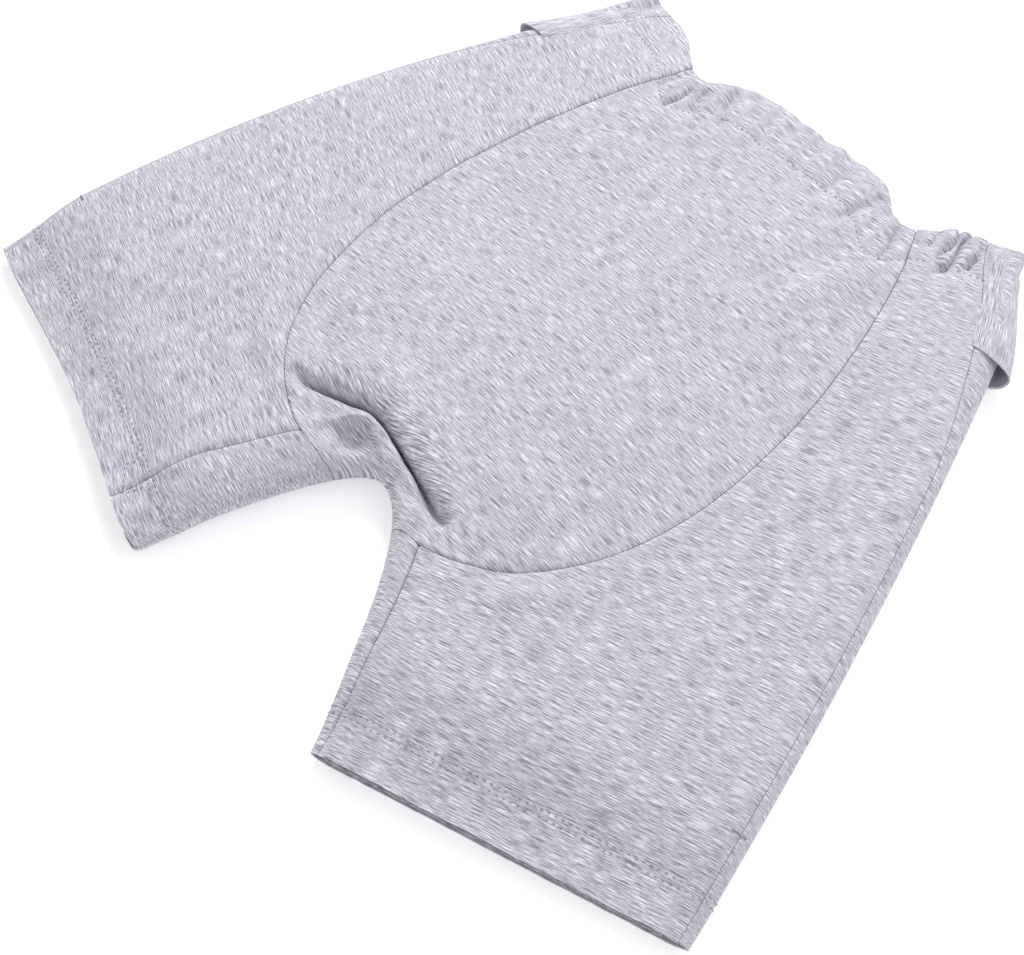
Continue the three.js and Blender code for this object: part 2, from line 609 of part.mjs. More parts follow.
// ---- Pull loops: a strap over each side fold, with a mouth that opens towards the hem ----
function addPullLoop(name, side) {
  addSheet(name, JERSEY, 14, 4, (u, v, depth) => {
    const y = TOP_Y - LOOP_BELOW_WAIST + (1 - v) * LOOP_LENGTH;
    const { row } = rowOf(side, flat(WAIST_HALF, y));
    const [, outer] = rowEnds(side, row);
    const height = heightAt(side, outer);
    const angle = lerp(-QUARTER, QUARTER, u);
    const back = u < 0.5;
    const inset = back ? LOOP_BACK_INSET : LOOP_FRONT_INSET;
    const reach = lerp(LOOP_TOP_REACH, LOOP_REACH, v) - depth * LOOP_FABRIC;
    const x = outer.x - inset + (inset + reach) * Math.cos(angle);
    const tall = height / 2 + 2 * LAYER_GAP + LOOP_FABRIC - depth * LOOP_FABRIC;
    const low = height / 2 - LOOP_FABRIC * depth;
    const z = height / 2 + (back ? low : tall) * Math.sin(angle);
    return new THREE.Vector3(side * x, y, z);
  });
}

// ---- Bar tacks: a dense bar of thread that ends each pad pocket at the side seam ----
function addBarTack(name, side) {
  const [, outer] = rowEnds(side, 1);
  const up = sideEdge[side].getTangent(1).multiplyScalar(-TACK_ABOVE_HEM);
  const { row } = rowOf(side, outer.clone().add(up).add(flat(-SIDE_SEAM_INSET, 0)));
  const seam = sideSeam(side, row, 0);
  const top = onGarment(side, seam, true, 0);
  const tack = addMesh(name, new THREE.BoxGeometry(...TACK), THREAD);
  tack.position.set(top.x, top.y, top.z + TACK[2] / 2 + LAYER_GAP);
  tack.rotation.z = side * LEG_SPLAY;
}

addSaddle("front_saddle_panel", true);
addSaddle("back_saddle_panel", false);
addWaistBand("waist_elastic", ELASTIC_KNIT, FABRIC + LAYER_GAP, ELASTIC);
addWaistBand("waist_casing", JERSEY, FABRIC + 2 * LAYER_GAP + ELASTIC, FACING);
addTailPad("tail_pad");
addTailPocket("tail_pad_pocket");
for (const [word, side] of [["left", LEFT], ["right", RIGHT]]) {
  addLegFront(`${word}_leg_front`, side);
  addLegBack(`${word}_leg_back`, side);
  addHemFacing(`${word}_hem_facing`, side);
  addHipPad(`${word}_hip_pad`, side);
  addHipPocket(`${word}_hip_pad_pocket`, side);
  addPullLoop(`${word}_pull_loop`, side);
  addBarTack(`${word}_bar_tack`, side);
}

export default shorts;
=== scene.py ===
import math

import bpy
import numpy as np
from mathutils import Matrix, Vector, noise


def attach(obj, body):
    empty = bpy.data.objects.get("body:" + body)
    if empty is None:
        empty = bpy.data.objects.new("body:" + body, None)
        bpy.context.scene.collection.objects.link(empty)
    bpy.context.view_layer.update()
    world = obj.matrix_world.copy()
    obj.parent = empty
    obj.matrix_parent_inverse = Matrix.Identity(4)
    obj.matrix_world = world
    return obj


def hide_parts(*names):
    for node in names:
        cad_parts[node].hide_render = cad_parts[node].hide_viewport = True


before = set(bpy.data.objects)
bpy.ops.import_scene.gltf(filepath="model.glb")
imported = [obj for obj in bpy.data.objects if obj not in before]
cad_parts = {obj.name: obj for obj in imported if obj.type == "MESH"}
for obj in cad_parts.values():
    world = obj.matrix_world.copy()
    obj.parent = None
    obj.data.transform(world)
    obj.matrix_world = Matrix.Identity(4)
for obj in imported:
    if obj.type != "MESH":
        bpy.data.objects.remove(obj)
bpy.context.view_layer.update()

LEFT = 1
RIGHT = -1

# ---- Cut of the garment, as in the rigid model ----
TOP_Y = 257
BOTTOM_Y = -257
WAIST_HALF = 157
CROTCH_Y = -130
CROTCH_ROW = 0.7
CROTCH_ROW_ON_SIDE = 0.8
LEG_SPLAY = math.radians(19)
HEM_OUTER = np.array([291, -188.6])
HEM_INNER = {LEFT: np.array([92.4, -257]), RIGHT: np.array([61.4, -257])}
SIDE_FULLNESS = {LEFT: 8, RIGHT: 26}
WAIST_SAG = 21
WAIST_DIP = 24
WAIST_DIP_X = 85
WAIST_DIP_WIDTH = 22
SEAM_AT_WAIST = 93
SADDLE_HALF_WIDTH = 138
JUNCTION = np.array([50, -145])
SIDE_SEAM_INSET = 6
SIDE_SEAM_INSET_AT_WAIST = 24
INSEAM_INSET = {LEFT: 5, RIGHT: 34}
SEAM_GAP = 0.35

# ---- Heights of the lying cloth ----
WAIST_HEIGHT = 27.6
BODY_HEIGHT = 28.6
LEG_HEIGHT = 25.2
SEAT_CROWN = 5
BACK_LIFT = 3.2
BACK_LIFT_REACH = 200
BACK_LIFT_Y = -20
HEM_HEIGHT = {LEFT: 12, RIGHT: 19}
HEM_FALL = 60
SIDE_FOLD = 16
INNER_FOLD = {LEFT: 14, RIGHT: 34}
CROTCH_FOLD = 22

# ---- Layers ----
JERSEY = 1.3
LAYER_GAP = 0.8
ELASTIC = 1
FACING = 1
LINING = 0.8
WAISTBAND = 33
HEM_DEPTH = 25
HEM_GAP = 1.5
TURNING_DEPTH = JERSEY + 0.15
TURNING = 0.45
QUARTER = math.pi / 2


def mix(a, b, t):
    return a + (b - a) * t


def ease(x, low, high):
    t = np.clip((x - low) / (high - low), 0, 1)
    return t * t * (3 - 2 * t)


def pair(x, y):
    return np.stack(np.broadcast_arrays(x, y), axis=-1).astype(float)


# ---- Cutting lines, for one half, with x counted away from the middle ----
def waist_line(x):
    share = np.minimum(1, np.abs(x) / WAIST_HALF)
    dip = np.exp(-(((np.abs(x) - WAIST_DIP_X) / WAIST_DIP_WIDTH) ** 2))
    return TOP_Y - WAIST_SAG * (1 - share**3) - WAIST_DIP * dip


def bowed(a, control, b):
    def at(t):
        t = np.asarray(t, float)[..., None]
        return a * (1 - t) ** 2 + 2 * control * t * (1 - t) + b * t * t

    return at


def swept(a, near_a, near_b, b):
    def at(t):
        t = np.asarray(t, float)[..., None]
        s = 1 - t
        return a * s**3 + 3 * near_a * s * s * t + 3 * near_b * s * t * t + b * t**3

    return at


def direction(curve, t):
    step = 1e-3
    d = curve(np.minimum(1, np.asarray(t) + step)) - curve(np.maximum(0, np.asarray(t) - step))
    return d / np.linalg.norm(d, axis=-1, keepdims=True)


def side_edge(side):
    a = np.array([WAIST_HALF, TOP_Y])
    down = (HEM_OUTER - a) / np.linalg.norm(HEM_OUTER - a)
    control = (a + HEM_OUTER) / 2 + 2 * SIDE_FULLNESS[side] * np.array([-down[1], down[0]])
    return bowed(a, control, HEM_OUTER)


def inner_edge(side):
    end = HEM_INNER[side]
    level = np.array([0.32 * end[0], CROTCH_Y])
    steep = np.array([0.72 * end[0], mix(CROTCH_Y, BOTTOM_Y, 0.55)])
    return swept(np.array([0, CROTCH_Y]), level, steep, end)


def saddle_seam():
    start = np.array([SEAM_AT_WAIST, waist_line(SEAM_AT_WAIST)])
    pull = (8 * SADDLE_HALF_WIDTH - start[0] - JUNCTION[0]) / 3
    upper = np.array([0.44 * pull, mix(start[1], JUNCTION[1], 0.29)])
    lower = np.array([0.56 * pull, mix(start[1], JUNCTION[1], 0.9)])
    return swept(start, upper, lower, JUNCTION)


def hem_direction(side):
    along = HEM_OUTER - HEM_INNER[side]
    return along / np.linalg.norm(along)


def square_to_hem(side):
    along = hem_direction(side)
    return np.array([-along[1], along[0]])


def above_hem(side, p):
    return (p - HEM_INNER[side]) @ square_to_hem(side)


def inseam(side):
    end = HEM_INNER[side] + INSEAM_INSET[side] * hem_direction(side)
    return bowed(JUNCTION, (JUNCTION + end) / 2 + [6, 5], end)


SIDE_EDGE = {s: side_edge(s) for s in (LEFT, RIGHT)}
INNER_EDGE = {s: inner_edge(s) for s in (LEFT, RIGHT)}
SADDLE_SEAM = saddle_seam()
INSEAM = {s: inseam(s) for s in (LEFT, RIGHT)}


# ---- Folds ----
def inner_fold_radius(side, t):
    return mix(CROTCH_FOLD, INNER_FOLD[side], ease(t, 0, 0.5))


def nearest_on(line, points):
    """How far each point is from a line of points, how far along it, and on which side."""
    a = line[:-1]
    d = line[1:] - a
    length = np.concatenate([[0], np.cumsum(np.linalg.norm(d, axis=1))])
    found = []
    for chunk in np.array_split(points, max(1, len(points) // 20000)):
        rel = chunk[:, None] - a
        t = np.clip((rel * d).sum(-1) / (d * d).sum(-1), 0, 1)
        gap = rel - t[..., None] * d
        away = np.linalg.norm(gap, axis=-1)
        i = away.argmin(axis=1)
        r = np.arange(len(chunk))
        turn = d[i, 0] * rel[r, i, 1] - d[i, 1] * rel[r, i, 0]
        along = length[i] + t[r, i] * (length[i + 1] - length[i])
        found.append(np.stack([away[r, i], along / length[-1], np.sign(turn), i], axis=1))
    return np.concatenate(found)


def nearest_fold(side, points):
    """How near each point is to a fold, as a share of the fold's radius, and the way out of it."""
    t = np.linspace(0, 1, 140)
    found = []
    for edge, inward, radius in (
        (SIDE_EDGE[side], 1, lambda s: SIDE_FOLD + 0 * s),
        (INNER_EDGE[side], -1, lambda s: inner_fold_radius(side, s)),
    ):
        line = edge(t)
        away, _, _, i = nearest_on(line, points).T
        i = i.astype(int)
        share = away / radius(t[i])
        d = line[i + 1] - line[i]
        normal = inward * pair(d[:, 1], -d[:, 0]) / np.linalg.norm(d, axis=1)[:, None]
        found.append((share, normal))
    (share, normal), (inner_share, inner_normal) = found
    inner = inner_share < share
    return np.where(inner, inner_share, share), np.where(inner[:, None], inner_normal, normal)


def height_at(side, p):
    x, y = p.T
    crown = SEAT_CROWN * np.exp(-((x / 110) ** 2) - ((y + 40) / 110) ** 2)
    trunk = mix(BODY_HEIGHT, LEG_HEIGHT, ease(x, 60, 190)) + crown
    body = mix(trunk, WAIST_HEIGHT, ease(y, TOP_Y - 120, TOP_Y - 50))
    low = mix(HEM_HEIGHT[side], HEM_HEIGHT[LEFT], ease(x, HEM_INNER[side][0], HEM_OUTER[0] - 40))
    return mix(low, body, ease(above_hem(side, p), 0, HEM_FALL))


# ---- How the cloth creases ----
# Each crease: the line it runs along, its height, its width to the right and left of that line,
# how sharp it is (1 a knife edge, 2 a soft wave) and how suddenly it ends.
CREASES = [
    # the seat bulges over a deep crease above the crotch
    ([(-86, -122), (-70, -118), (-53, -110), (-34, -104), (-14, -106), (8, -112), (30, -119), (52, -127)],
     -20, 5, 4.1, 1.7, 0.55),
    ([(-92, -108), (-70, -102), (-50, -93), (-30, -88), (-6, -92), (16, -100), (38, -108), (58, -116)],
     3.4, 9, 18, 2, 0.7),
    # the crotch point is tucked up into a pleat that stands behind the crease
    ([(-48, -137), (-41, -125), (-29, -115), (-18, -115), (-11, -122), (-2, -135)], 5, 3.2, 4.2, 1.7, 0.3),
    ([(-72, -130), (-40, -125), (-10, -125), (30, -131)], -5, 14, 7, 2, 0.5),
    ([(4, -134), (20, -128), (36, -126), (50, -130)], -5, 5, 6, 1.6, 0.6),
    ([(-6, -120), (12, -122), (30, -128), (44, -138)], 3.5, 3.5, 4.5, 1.6, 0.6),
    # small wrinkles where the left leg is sewn to the saddle
    ([(72, -154), (86, -134), (100, -114), (113, -101)], -2.8, 4, 6, 1.5, 1),
    ([(88, -153), (104, -132), (122, -112)], 2.4, 6, 6, 2, 1),
    ([(60, -160), (74, -148), (90, -128)], 2.0, 5, 5, 2, 1),
    # drag lines across the right leg towards its inseam
    ([(-150, -95), (-122, -112), (-96, -128), (-74, -134)], 1.8, 7, 9, 2, 1),
    ([(-140, -120), (-112, -134), (-86, -146)], -1.5, 6, 6, 2, 1),
    ([(-92, -150), (-80, -190), (-84, -232)], 1.4, 7, 7, 2, 1),
    # the hem is joined in a ring by a short seam across it
    ([(229, -182), (236, -194), (244, -206)], -1.5, 0.8, 0.8, 1.6, 0.3),
    # soft fold beside the right saddle seam
    ([(-112, -64), (-98, -86), (-86, -104), (-80, -118)], -2.2, 6, 9, 1.6, 1),
    ([(-150, 40), (-140, -20), (-146, -70)], 1.2, 16, 12, 2, 1),
    # pleats that the elastic draws together
    ([(103, 234), (106, 222), (104, 210)], -3.4, 1.6, 2.8, 1.2, 0.5),
    ([(112, 246), (117, 230), (114, 212)], -5.8, 1.6, 2.4, 1.2, 0.5),
    ([(124, 250), (121, 234), (125, 216), (119, 198)], -6.2, 1.7, 2.2, 1.2, 0.5),
    ([(112, 214), (122, 209), (135, 210)], -3.2, 1.8, 2.2, 1.4, 0.8),
    ([(131, 243), (135, 230), (130, 213)], -5.2, 1.6, 2.6, 1.2, 0.5),
    ([(142, 252), (140, 241), (145, 226)], -3.4, 1.8, 2.6, 1.2, 0.5),
    ([(128, 228), (136, 222), (143, 224)], -2.6, 1.7, 2.2, 1.4, 0.8),
    ([(-82, 210), (-82, 198), (-86, 176)], -4.6, 1.5, 3.4, 1.2, 0.6),
    ([(-74, 213), (-73, 200), (-66, 184)], -3.4, 2.2, 3.2, 1.4, 0.6),
    ([(-92, 218), (-95, 204), (-104, 186)], -3.0, 2.2, 3.2, 1.4, 0.6),
    ([(84, 212), (88, 198), (92, 180)], -4.4, 2.0, 3.2, 1.3, 0.6),
    ([(-60, 226), (-54, 206), (-44, 186)], -3.0, 2.4, 3.8, 1.6, 0.7),
    ([(62, 224), (56, 204), (50, 184)], -3.4, 2.4, 3.8, 1.6, 0.7),
    ([(36, 234), (34, 214), (30, 190)], -2.6, 2.4, 3.8, 1.6, 0.7),
    ([(-30, 238), (-27, 216), (-20, 196)], -2.4, 2.4, 3.8, 1.6, 0.7),
    # long drape from the gathers down over the seat
    ([(96, 205), (88, 160), (70, 110)], 2.8, 9, 12, 2, 1),
    ([(72, 196), (62, 150), (40, 100)], -2.2, 8, 11, 2, 1),
    ([(-78, 186), (-84, 150), (-70, 100)], 2.4, 9, 12, 2, 1),
]
HOLLOW = ((-25, -130), (11, 9), 9)  # the mouth of the tucked pleat: middle, half sizes and depth


def rounded_line(points, steps=60):
    """A smooth line through a few points."""
    p = np.array(points, float)
    p = np.concatenate([[2 * p[0] - p[1]], p, [2 * p[-1] - p[-2]]])
    out = []
    for s in np.linspace(0, len(points) - 1 - 1e-6, steps):
        i = int(s)
        t = s - i
        a, b, c, d = p[i : i + 4]
        out.append(b + 0.5 * t * (c - a + t * (2 * a - 5 * b + 4 * c - d + t * (3 * (b - c) + d - a))))
    return np.array(out)


CREASE_LINES = [rounded_line(c[0]) for c in CREASES]


def cloud(x, y, size, seed):
    """Soft random waves of about one size, from -1 to 1."""
    return np.array([noise.noise(Vector((a / size, b / size, seed))) for a, b in zip(x, y)])


def creases_at(x, y):
    """How far the creases lift the front, in millimetres."""
    points = pair(x + 1.5 * cloud(x, y, 10, 5.9), y + 1.0 * cloud(x, y, 12, 2.6))
    lift = np.zeros(len(points))
    for line, (_, height, right, left, sharp, ends) in zip(CREASE_LINES, CREASES):
        reach = 4 * max(right, left)
        low = line.min(0) - reach
        high = line.max(0) + reach
        near = ((points > low) & (points < high)).all(axis=1)
        if not near.any():
            continue
        away, along, hand, _ = nearest_on(line, points[near]).T
        width = np.where(hand < 0, right, left)
        run = np.sin(math.pi * np.clip(along, 0, 1)) ** ends
        lift[near] += height * run * np.exp(-((away / width) ** sharp))
    (cx, cy), (rx, ry), depth = HOLLOW
    round_it = ((x - cx) / rx) ** 2 + ((y - cy) / ry) ** 2
    return lift - depth * np.exp(-(round_it**1.15))


def gathers_at(x, y):
    """The elastic draws the waistband into fine upright ribs, which fade out below it."""
    below = waist_line(x) - y
    fade = np.exp(-((np.maximum(0, below - 20) / 26) ** 1.3))
    ribs = 2.1 * cloud(x, 0.2 * y, 7.5, 3.7) + 1.5 * cloud(x, 0.2 * y, 19, 8.1)
    strength = 0.9 + 0.9 * cloud(x, y, 38, 5.5)
    pinch = -1.1 * np.exp(-(((below - WAISTBAND) / 2.4) ** 2)) * (1 + 0.9 * cloud(x, 0 * y, 5, 2.2))
    edge = -1.2 * np.exp(-((below / 4) ** 2))
    edge += 1.6 * cloud(x, 0 * y, 13, 4.1) * np.exp(-((below / 9) ** 2))
    return ribs * strength * fade + pinch + edge


def pad_shows_at(x, y):
    """The foot of the left hip pad presses faintly through the front."""
    foot = [(192, -178), (206, -181), (222, -172), (235, -154), (240, -136), (236, -116)]
    away, along, hand, _ = nearest_on(rounded_line(foot), pair(x, y)).T
    inside = np.where(hand > 0, 1.0, 0.0)
    ridge = np.exp(-((away / 4) ** 2))
    slope = inside * np.exp(-((away / 30) ** 2))
    return (0.5 * ridge + 0.5 * slope) * np.sin(math.pi * np.clip(along, 0.02, 0.98)) ** 0.5


def lie_of_front(side, p):
    """How far the front lies over its plain shape: waves, the stitched hem, creases and gathers."""
    x, y = side * p[:, 0], p[:, 1]
    up = above_hem(side, p)
    waves = 1.6 * cloud(x, y, 75, 1.3) + 0.8 * cloud(x, y, 32, 2.9) + 0.2 * cloud(x, y, 9, 7.7)
    run = p @ hem_direction(side)
    stitched = -0.5 * (np.exp(-(((up - 22) / 1.1) ** 2)) + np.exp(-(((up - 26) / 1.1) ** 2)))
    pucker = 0.22 * np.sin(2 * math.pi * run / 6.5 + 2 * cloud(x, y, 15, 4.4))
    pucker *= np.exp(-(((up - 23) / 9) ** 2))
    wavy_hem = 2.2 * cloud(x, y, 30, 6.1) * np.exp(-((up / 18) ** 2))
    # the outer corners of the waist lie lower, where nothing fills them
    corner = -9 * np.exp(-(((p[:, 0] - 162) / 38) ** 2) - ((y - 264) / 46) ** 2)
    lift = waves + stitched + pucker + wavy_hem + corner + creases_at(x, y) + gathers_at(x, y)
    return lift + (pad_shows_at(x, y) if side == LEFT else 0)


def waist_lean(x, y):
    """The waist was put down a little to the right of the wearer, so both of its corners lean that way."""
    return -8.5 * ease(y, 185, 250) * ease(np.abs(x), 60, 150)


def overhang(x, y):
    """How far the bulge of the seat hangs over the crease below it."""
    away, along, hand, _ = nearest_on(CREASE_LINES[0], pair(x, y)).T
    run = np.sin(math.pi * np.clip(along, 0, 1)) ** 0.6
    above = np.exp(-(((away - 5) / 5) ** 2))
    return 7 * run * np.where(hand > 0, above, math.exp(-1) * np.exp(-((away / 3) ** 2)))


def seam_dip(side, p):
    """Beside a seam the cloth rolls down into it, and its turnings lift it a little on one side."""
    t = np.linspace(0, 1, 160)
    down = np.zeros(len(p))
    for line, strength in ((SADDLE_SEAM(t), 1.0), (INSEAM[side](t), 1.4), (side_seam(side, t), 0.6)):
        away, _, hand, _ = nearest_on(line, p).T
        down -= strength * (0.95 * np.exp(-((away / 0.9) ** 1.6)))
        down += strength * 0.3 * np.exp(-(((away - 4) / 2.4) ** 2)) * (hand > 0)
    return down


def hem_bow(side, p):
    """The rolled right leg pulls its hem in between its two corners and rounds the inner one."""
    if side == LEFT:
        return 0.0
    width = (HEM_OUTER - HEM_INNER[side])[0]
    share = np.clip(((p - HEM_INNER[side]) @ hem_direction(side)) / width, 0, 1)
    pull = 6.0 * np.sin(math.pi * share) ** 1.3 + 5.0 * np.exp(-share / 0.03)
    pull *= 1 - ease(above_hem(side, p), 0, 70)
    return pull[:, None] * square_to_hem(side)


def on_garment(side, p, top, depth, seamed=False):
    """Points of the cloth from their place in the flat outline, on the front (top) or the back sheet."""
    top = np.broadcast_to(top, len(p))
    depth = np.broadcast_to(depth, len(p))
    share, normal = nearest_fold(side, p)
    half = height_at(side, p) / 2
    is_open = 1 - np.minimum(1, share)
    swell = np.sqrt(np.maximum(0, 1 - is_open**2))
    if seamed:
        swell = np.maximum(swell, SEAM_GAP / 2 / half)
    place = p + normal * (depth * is_open)[:, None] + hem_bow(side, p)
    from_seat = np.hypot(p[:, 0], p[:, 1] - BACK_LIFT_Y) / BACK_LIFT_REACH
    arch = BACK_LIFT * np.cos(QUARTER * np.minimum(1, from_seat))
    clear = ease(TOP_Y - p[:, 1], 80, 160) * ease(above_hem(side, p), 30, 90)
    near = top & (p[:, 0] < 110) & (p[:, 1] < -60)
    if near.any():
        place[near, 1] -= overhang(side * p[near, 0], p[near, 1]) * ease(share[near], 0.2, 0.9)
    back_wave = 0.4 + 0.3 * cloud(side * p[:, 0], p[:, 1], 60, 11.3) + arch * clear
    front = lie_of_front(side, p) * ease(share, 0.0, 0.9) + seam_dip(side, p)
    rise = np.where(top, half - depth + front, depth - half + back_wave)
    z = half + rise * swell
    z = np.where(top, np.maximum(z, JERSEY * 2 + 3 - depth), z)
    x = side * place[:, 0] + waist_lean(p[:, 0], p[:, 1])
    return np.stack([x, place[:, 1], z], axis=1)


# ---- Rows across one half, from the middle or the inner fold out to the side fold ----
def row_ends(side, row):
    """The inner and outer end of a row, which is 0 at the waist and 1 at the hem."""
    row = np.asarray(row, float)
    upper = np.minimum(1, row / CROTCH_ROW)
    lower = np.clip((row - CROTCH_ROW) / (1 - CROTCH_ROW), 0, 1)
    is_upper = (row < CROTCH_ROW)[..., None]
    inner = np.where(is_upper, pair(0, mix(waist_line(0), CROTCH_Y, upper)), INNER_EDGE[side](lower))
    on_side = np.where(row < CROTCH_ROW, CROTCH_ROW_ON_SIDE * upper, mix(CROTCH_ROW_ON_SIDE, 1, lower))
    return inner, SIDE_EDGE[side](on_side)


def in_outline(side, across, row):
    """A point of the flat outline from its row and how far across that row it lies."""
    inner, outer = row_ends(side, row)
    point = mix(inner, outer, np.asarray(across)[..., None])
    first, last = row_ends(side, 0.0)
    straight = mix(first[1], last[1], np.clip(point[..., 0] / last[0], 0, 1))
    fade = np.maximum(0, 1 - np.asarray(row) / (CROTCH_ROW / 2)) ** 2
    point[..., 1] += fade * (waist_line(point[..., 0]) - straight)
    return point


def row_of(side, p):
    """The row, and how far across it, for points of the flat outline."""
    low = np.zeros(len(p))
    high = np.ones(len(p))

    def across_at(row):
        inner, outer = row_ends(side, row)
        return (p[:, 0] - inner[:, 0]) / (outer[:, 0] - inner[:, 0])

    for _ in range(34):
        row = (low + high) / 2
        above = in_outline(side, across_at(row), row)[:, 1] > p[:, 1]
        low = np.where(above, row, low)
        high = np.where(above, high, row)
    return low, across_at(low)


def loop_of(side, row):
    """The girth of a row: inner radius, flat width, straight stretch, side turn and half the way round."""
    inner, outer = row_ends(side, row)
    share = ease(row, CROTCH_ROW, CROTCH_ROW + 0.06)
    radius = share * inner_fold_radius(side, np.clip((row - CROTCH_ROW) / (1 - CROTCH_ROW), 0, 1))
    length = np.linalg.norm(outer - inner, axis=-1)
    turn = SIDE_FOLD * QUARTER
    straight = length - SIDE_FOLD - radius
    return radius, length, straight, turn, turn + straight + radius * QUARTER


def unroll(loop, from_side):
    """How far round the girth a point is, from how far it is from the side edge."""
    radius, length, _, turn, half = loop
    at_side = SIDE_FOLD * np.arccos(np.clip(1 - from_side / SIDE_FOLD, -1, 1))
    from_inner = length - from_side
    bend = np.arccos(np.clip(1 - from_inner / np.maximum(radius, 1e-6), -1, 1))
    middle = turn + from_side - SIDE_FOLD
    out = np.where(from_inner >= radius, middle, half - radius * bend)
    return np.where(from_side < SIDE_FOLD, at_side, out)


def roll_up(loop, along):
    """The other way: how far from the side edge a point is, from how far round the girth it is."""
    radius, length, straight, turn, half = loop
    at_side = SIDE_FOLD * (1 - np.cos(np.minimum(along, turn) / SIDE_FOLD))
    at_inner = length - radius * (1 - np.cos(np.minimum(1.6, (half - along) / np.maximum(radius, 1e-6))))
    out = np.where(along <= turn + straight, SIDE_FOLD + along - turn, at_inner)
    return np.where(along < turn, at_side, out)


def on_loop(side, along, row, depth):
    """Points of the cloth round a leg, where the back of the leg comes round to the front."""
    loop = loop_of(side, row)
    half = loop[4]
    top = (along < 0) | (along > half)
    from_side = roll_up(loop, np.where(along > half, 2 * half - along, np.abs(along)))
    return on_garment(side, in_outline(side, 1 - from_side / loop[1], row), top, depth)


def side_seam_inset(row):
    return mix(SIDE_SEAM_INSET_AT_WAIST, SIDE_SEAM_INSET, ease(row, 0, 0.35))


def side_seam(side, t, outward=0):
    row = np.asarray(t, float)
    inset = side_seam_inset(row) - outward * SEAM_GAP / 2
    return in_outline(side, 1 - inset / loop_of(side, row)[1], row)


# ---- Making a piece of cloth: a closed sheet with a face, a back and four edges ----
def cloth(name, face, back, grain, finish, body="garment"):
    """face and back are grids of points in millimetres; grain is the place in the cloth, in metres."""
    rows, columns = face.shape[:2]
    n = rows * columns
    points = np.concatenate([face.reshape(-1, 3), back.reshape(-1, 3)]) / 1000
    index = np.arange(n).reshape(rows, columns)
    a, b, c, d = index[:-1, :-1], index[1:, :-1], index[1:, 1:], index[:-1, 1:]
    quads = np.stack([a, b, c, d], axis=-1).reshape(-1, 4)
    rim = np.concatenate([index[0, :], index[1:, -1], index[-1, -2::-1], index[-2:0:-1, 0]])
    after = np.roll(rim, -1)
    edge = np.stack([rim, after, after + n, rim + n], axis=-1)
    faces = np.concatenate([quads, quads[:, ::-1] + n, edge])
    tri = points[faces]
    normal = np.cross(tri[:, 2] - tri[:, 0], tri[:, 3] - tri[:, 1])
    if (tri.mean(axis=1) * normal).sum() < 0:
        faces = faces[:, ::-1]
    piece = from_points(name, points, faces, finish, body)
    uv = piece.data.uv_layers.new(name="grain")
    both = np.concatenate([grain.reshape(-1, 2)] * 2)
    uv.data.foreach_set("uv", both[faces.reshape(-1)].reshape(-1))
    return piece


def from_points(name, points, faces, finish, body):
    mesh = bpy.data.meshes.new(name)
    mesh.from_pydata(np.asarray(points, float).tolist(), [], [list(map(int, face)) for face in faces])
    mesh.validate()
    mesh.polygons.foreach_set("use_smooth", np.ones(len(mesh.polygons), dtype=bool))
    mesh.set_sharp_from_angle(angle=math.radians(55))
    piece = bpy.data.objects.new(name, mesh)
    bpy.context.scene.collection.objects.link(piece)
    mesh.materials.append(finish)
    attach(piece, body)
    return piece


def layer(name, shape, place, grain, finish, thickness=JERSEY, outside=0.0):
    """A sheet between two depths; place(depth) gives its points at a depth under the outside."""
    face, back = (place(depth).reshape(*shape, 3) for depth in (outside, outside + thickness))
    return cloth(name, face, back, grain, finish)


# ---- Materials ----
def linear(hex_colour):
    out = []
    for i in (1, 3, 5):
        c = int(hex_colour[i : i + 2], 16) / 255
        out.append(c / 12.92 if c <= 0.04045 else ((c + 0.055) / 1.055) ** 2.4)
    return (*out, 1)


def node(tree, kind, settings=None, **links):
    made = tree.nodes.new(kind)
    for key, value in (settings or {}).items():
        if key == "stops":
            while len(made.color_ramp.elements) < len(value):
                made.color_ramp.elements.new(0.5)
            for element, (place, colour) in zip(made.color_ramp.elements, value):
                element.position = place
                element.color = colour
        elif hasattr(made, key):
            setattr(made, key, value)
        else:
            made.inputs[key].default_value = value
    for key, source in links.items():
        name = key.replace("_", " ")
        target = made.inputs[int(key[1:])] if key[1:].isdigit() else made.inputs[name]
        tree.links.new(source, target)
    return made


def new_material(name, roughness, sheen=0.0):
    material = bpy.data.materials.new(name)
    material.use_nodes = True
    tree = material.node_tree
    shader = tree.nodes["Principled BSDF"]
    shader.inputs["Roughness"].default_value = roughness
    shader.inputs["Sheen Weight"].default_value = sheen
    shader.inputs["Sheen Roughness"].default_value = 0.5
    shader.inputs["Specular IOR Level"].default_value = 0.25
    return material, tree, shader


def drawn_out(along_mm, across_mm):
    return {"Scale": (1000 / along_mm, 1000 / across_mm, 1)}


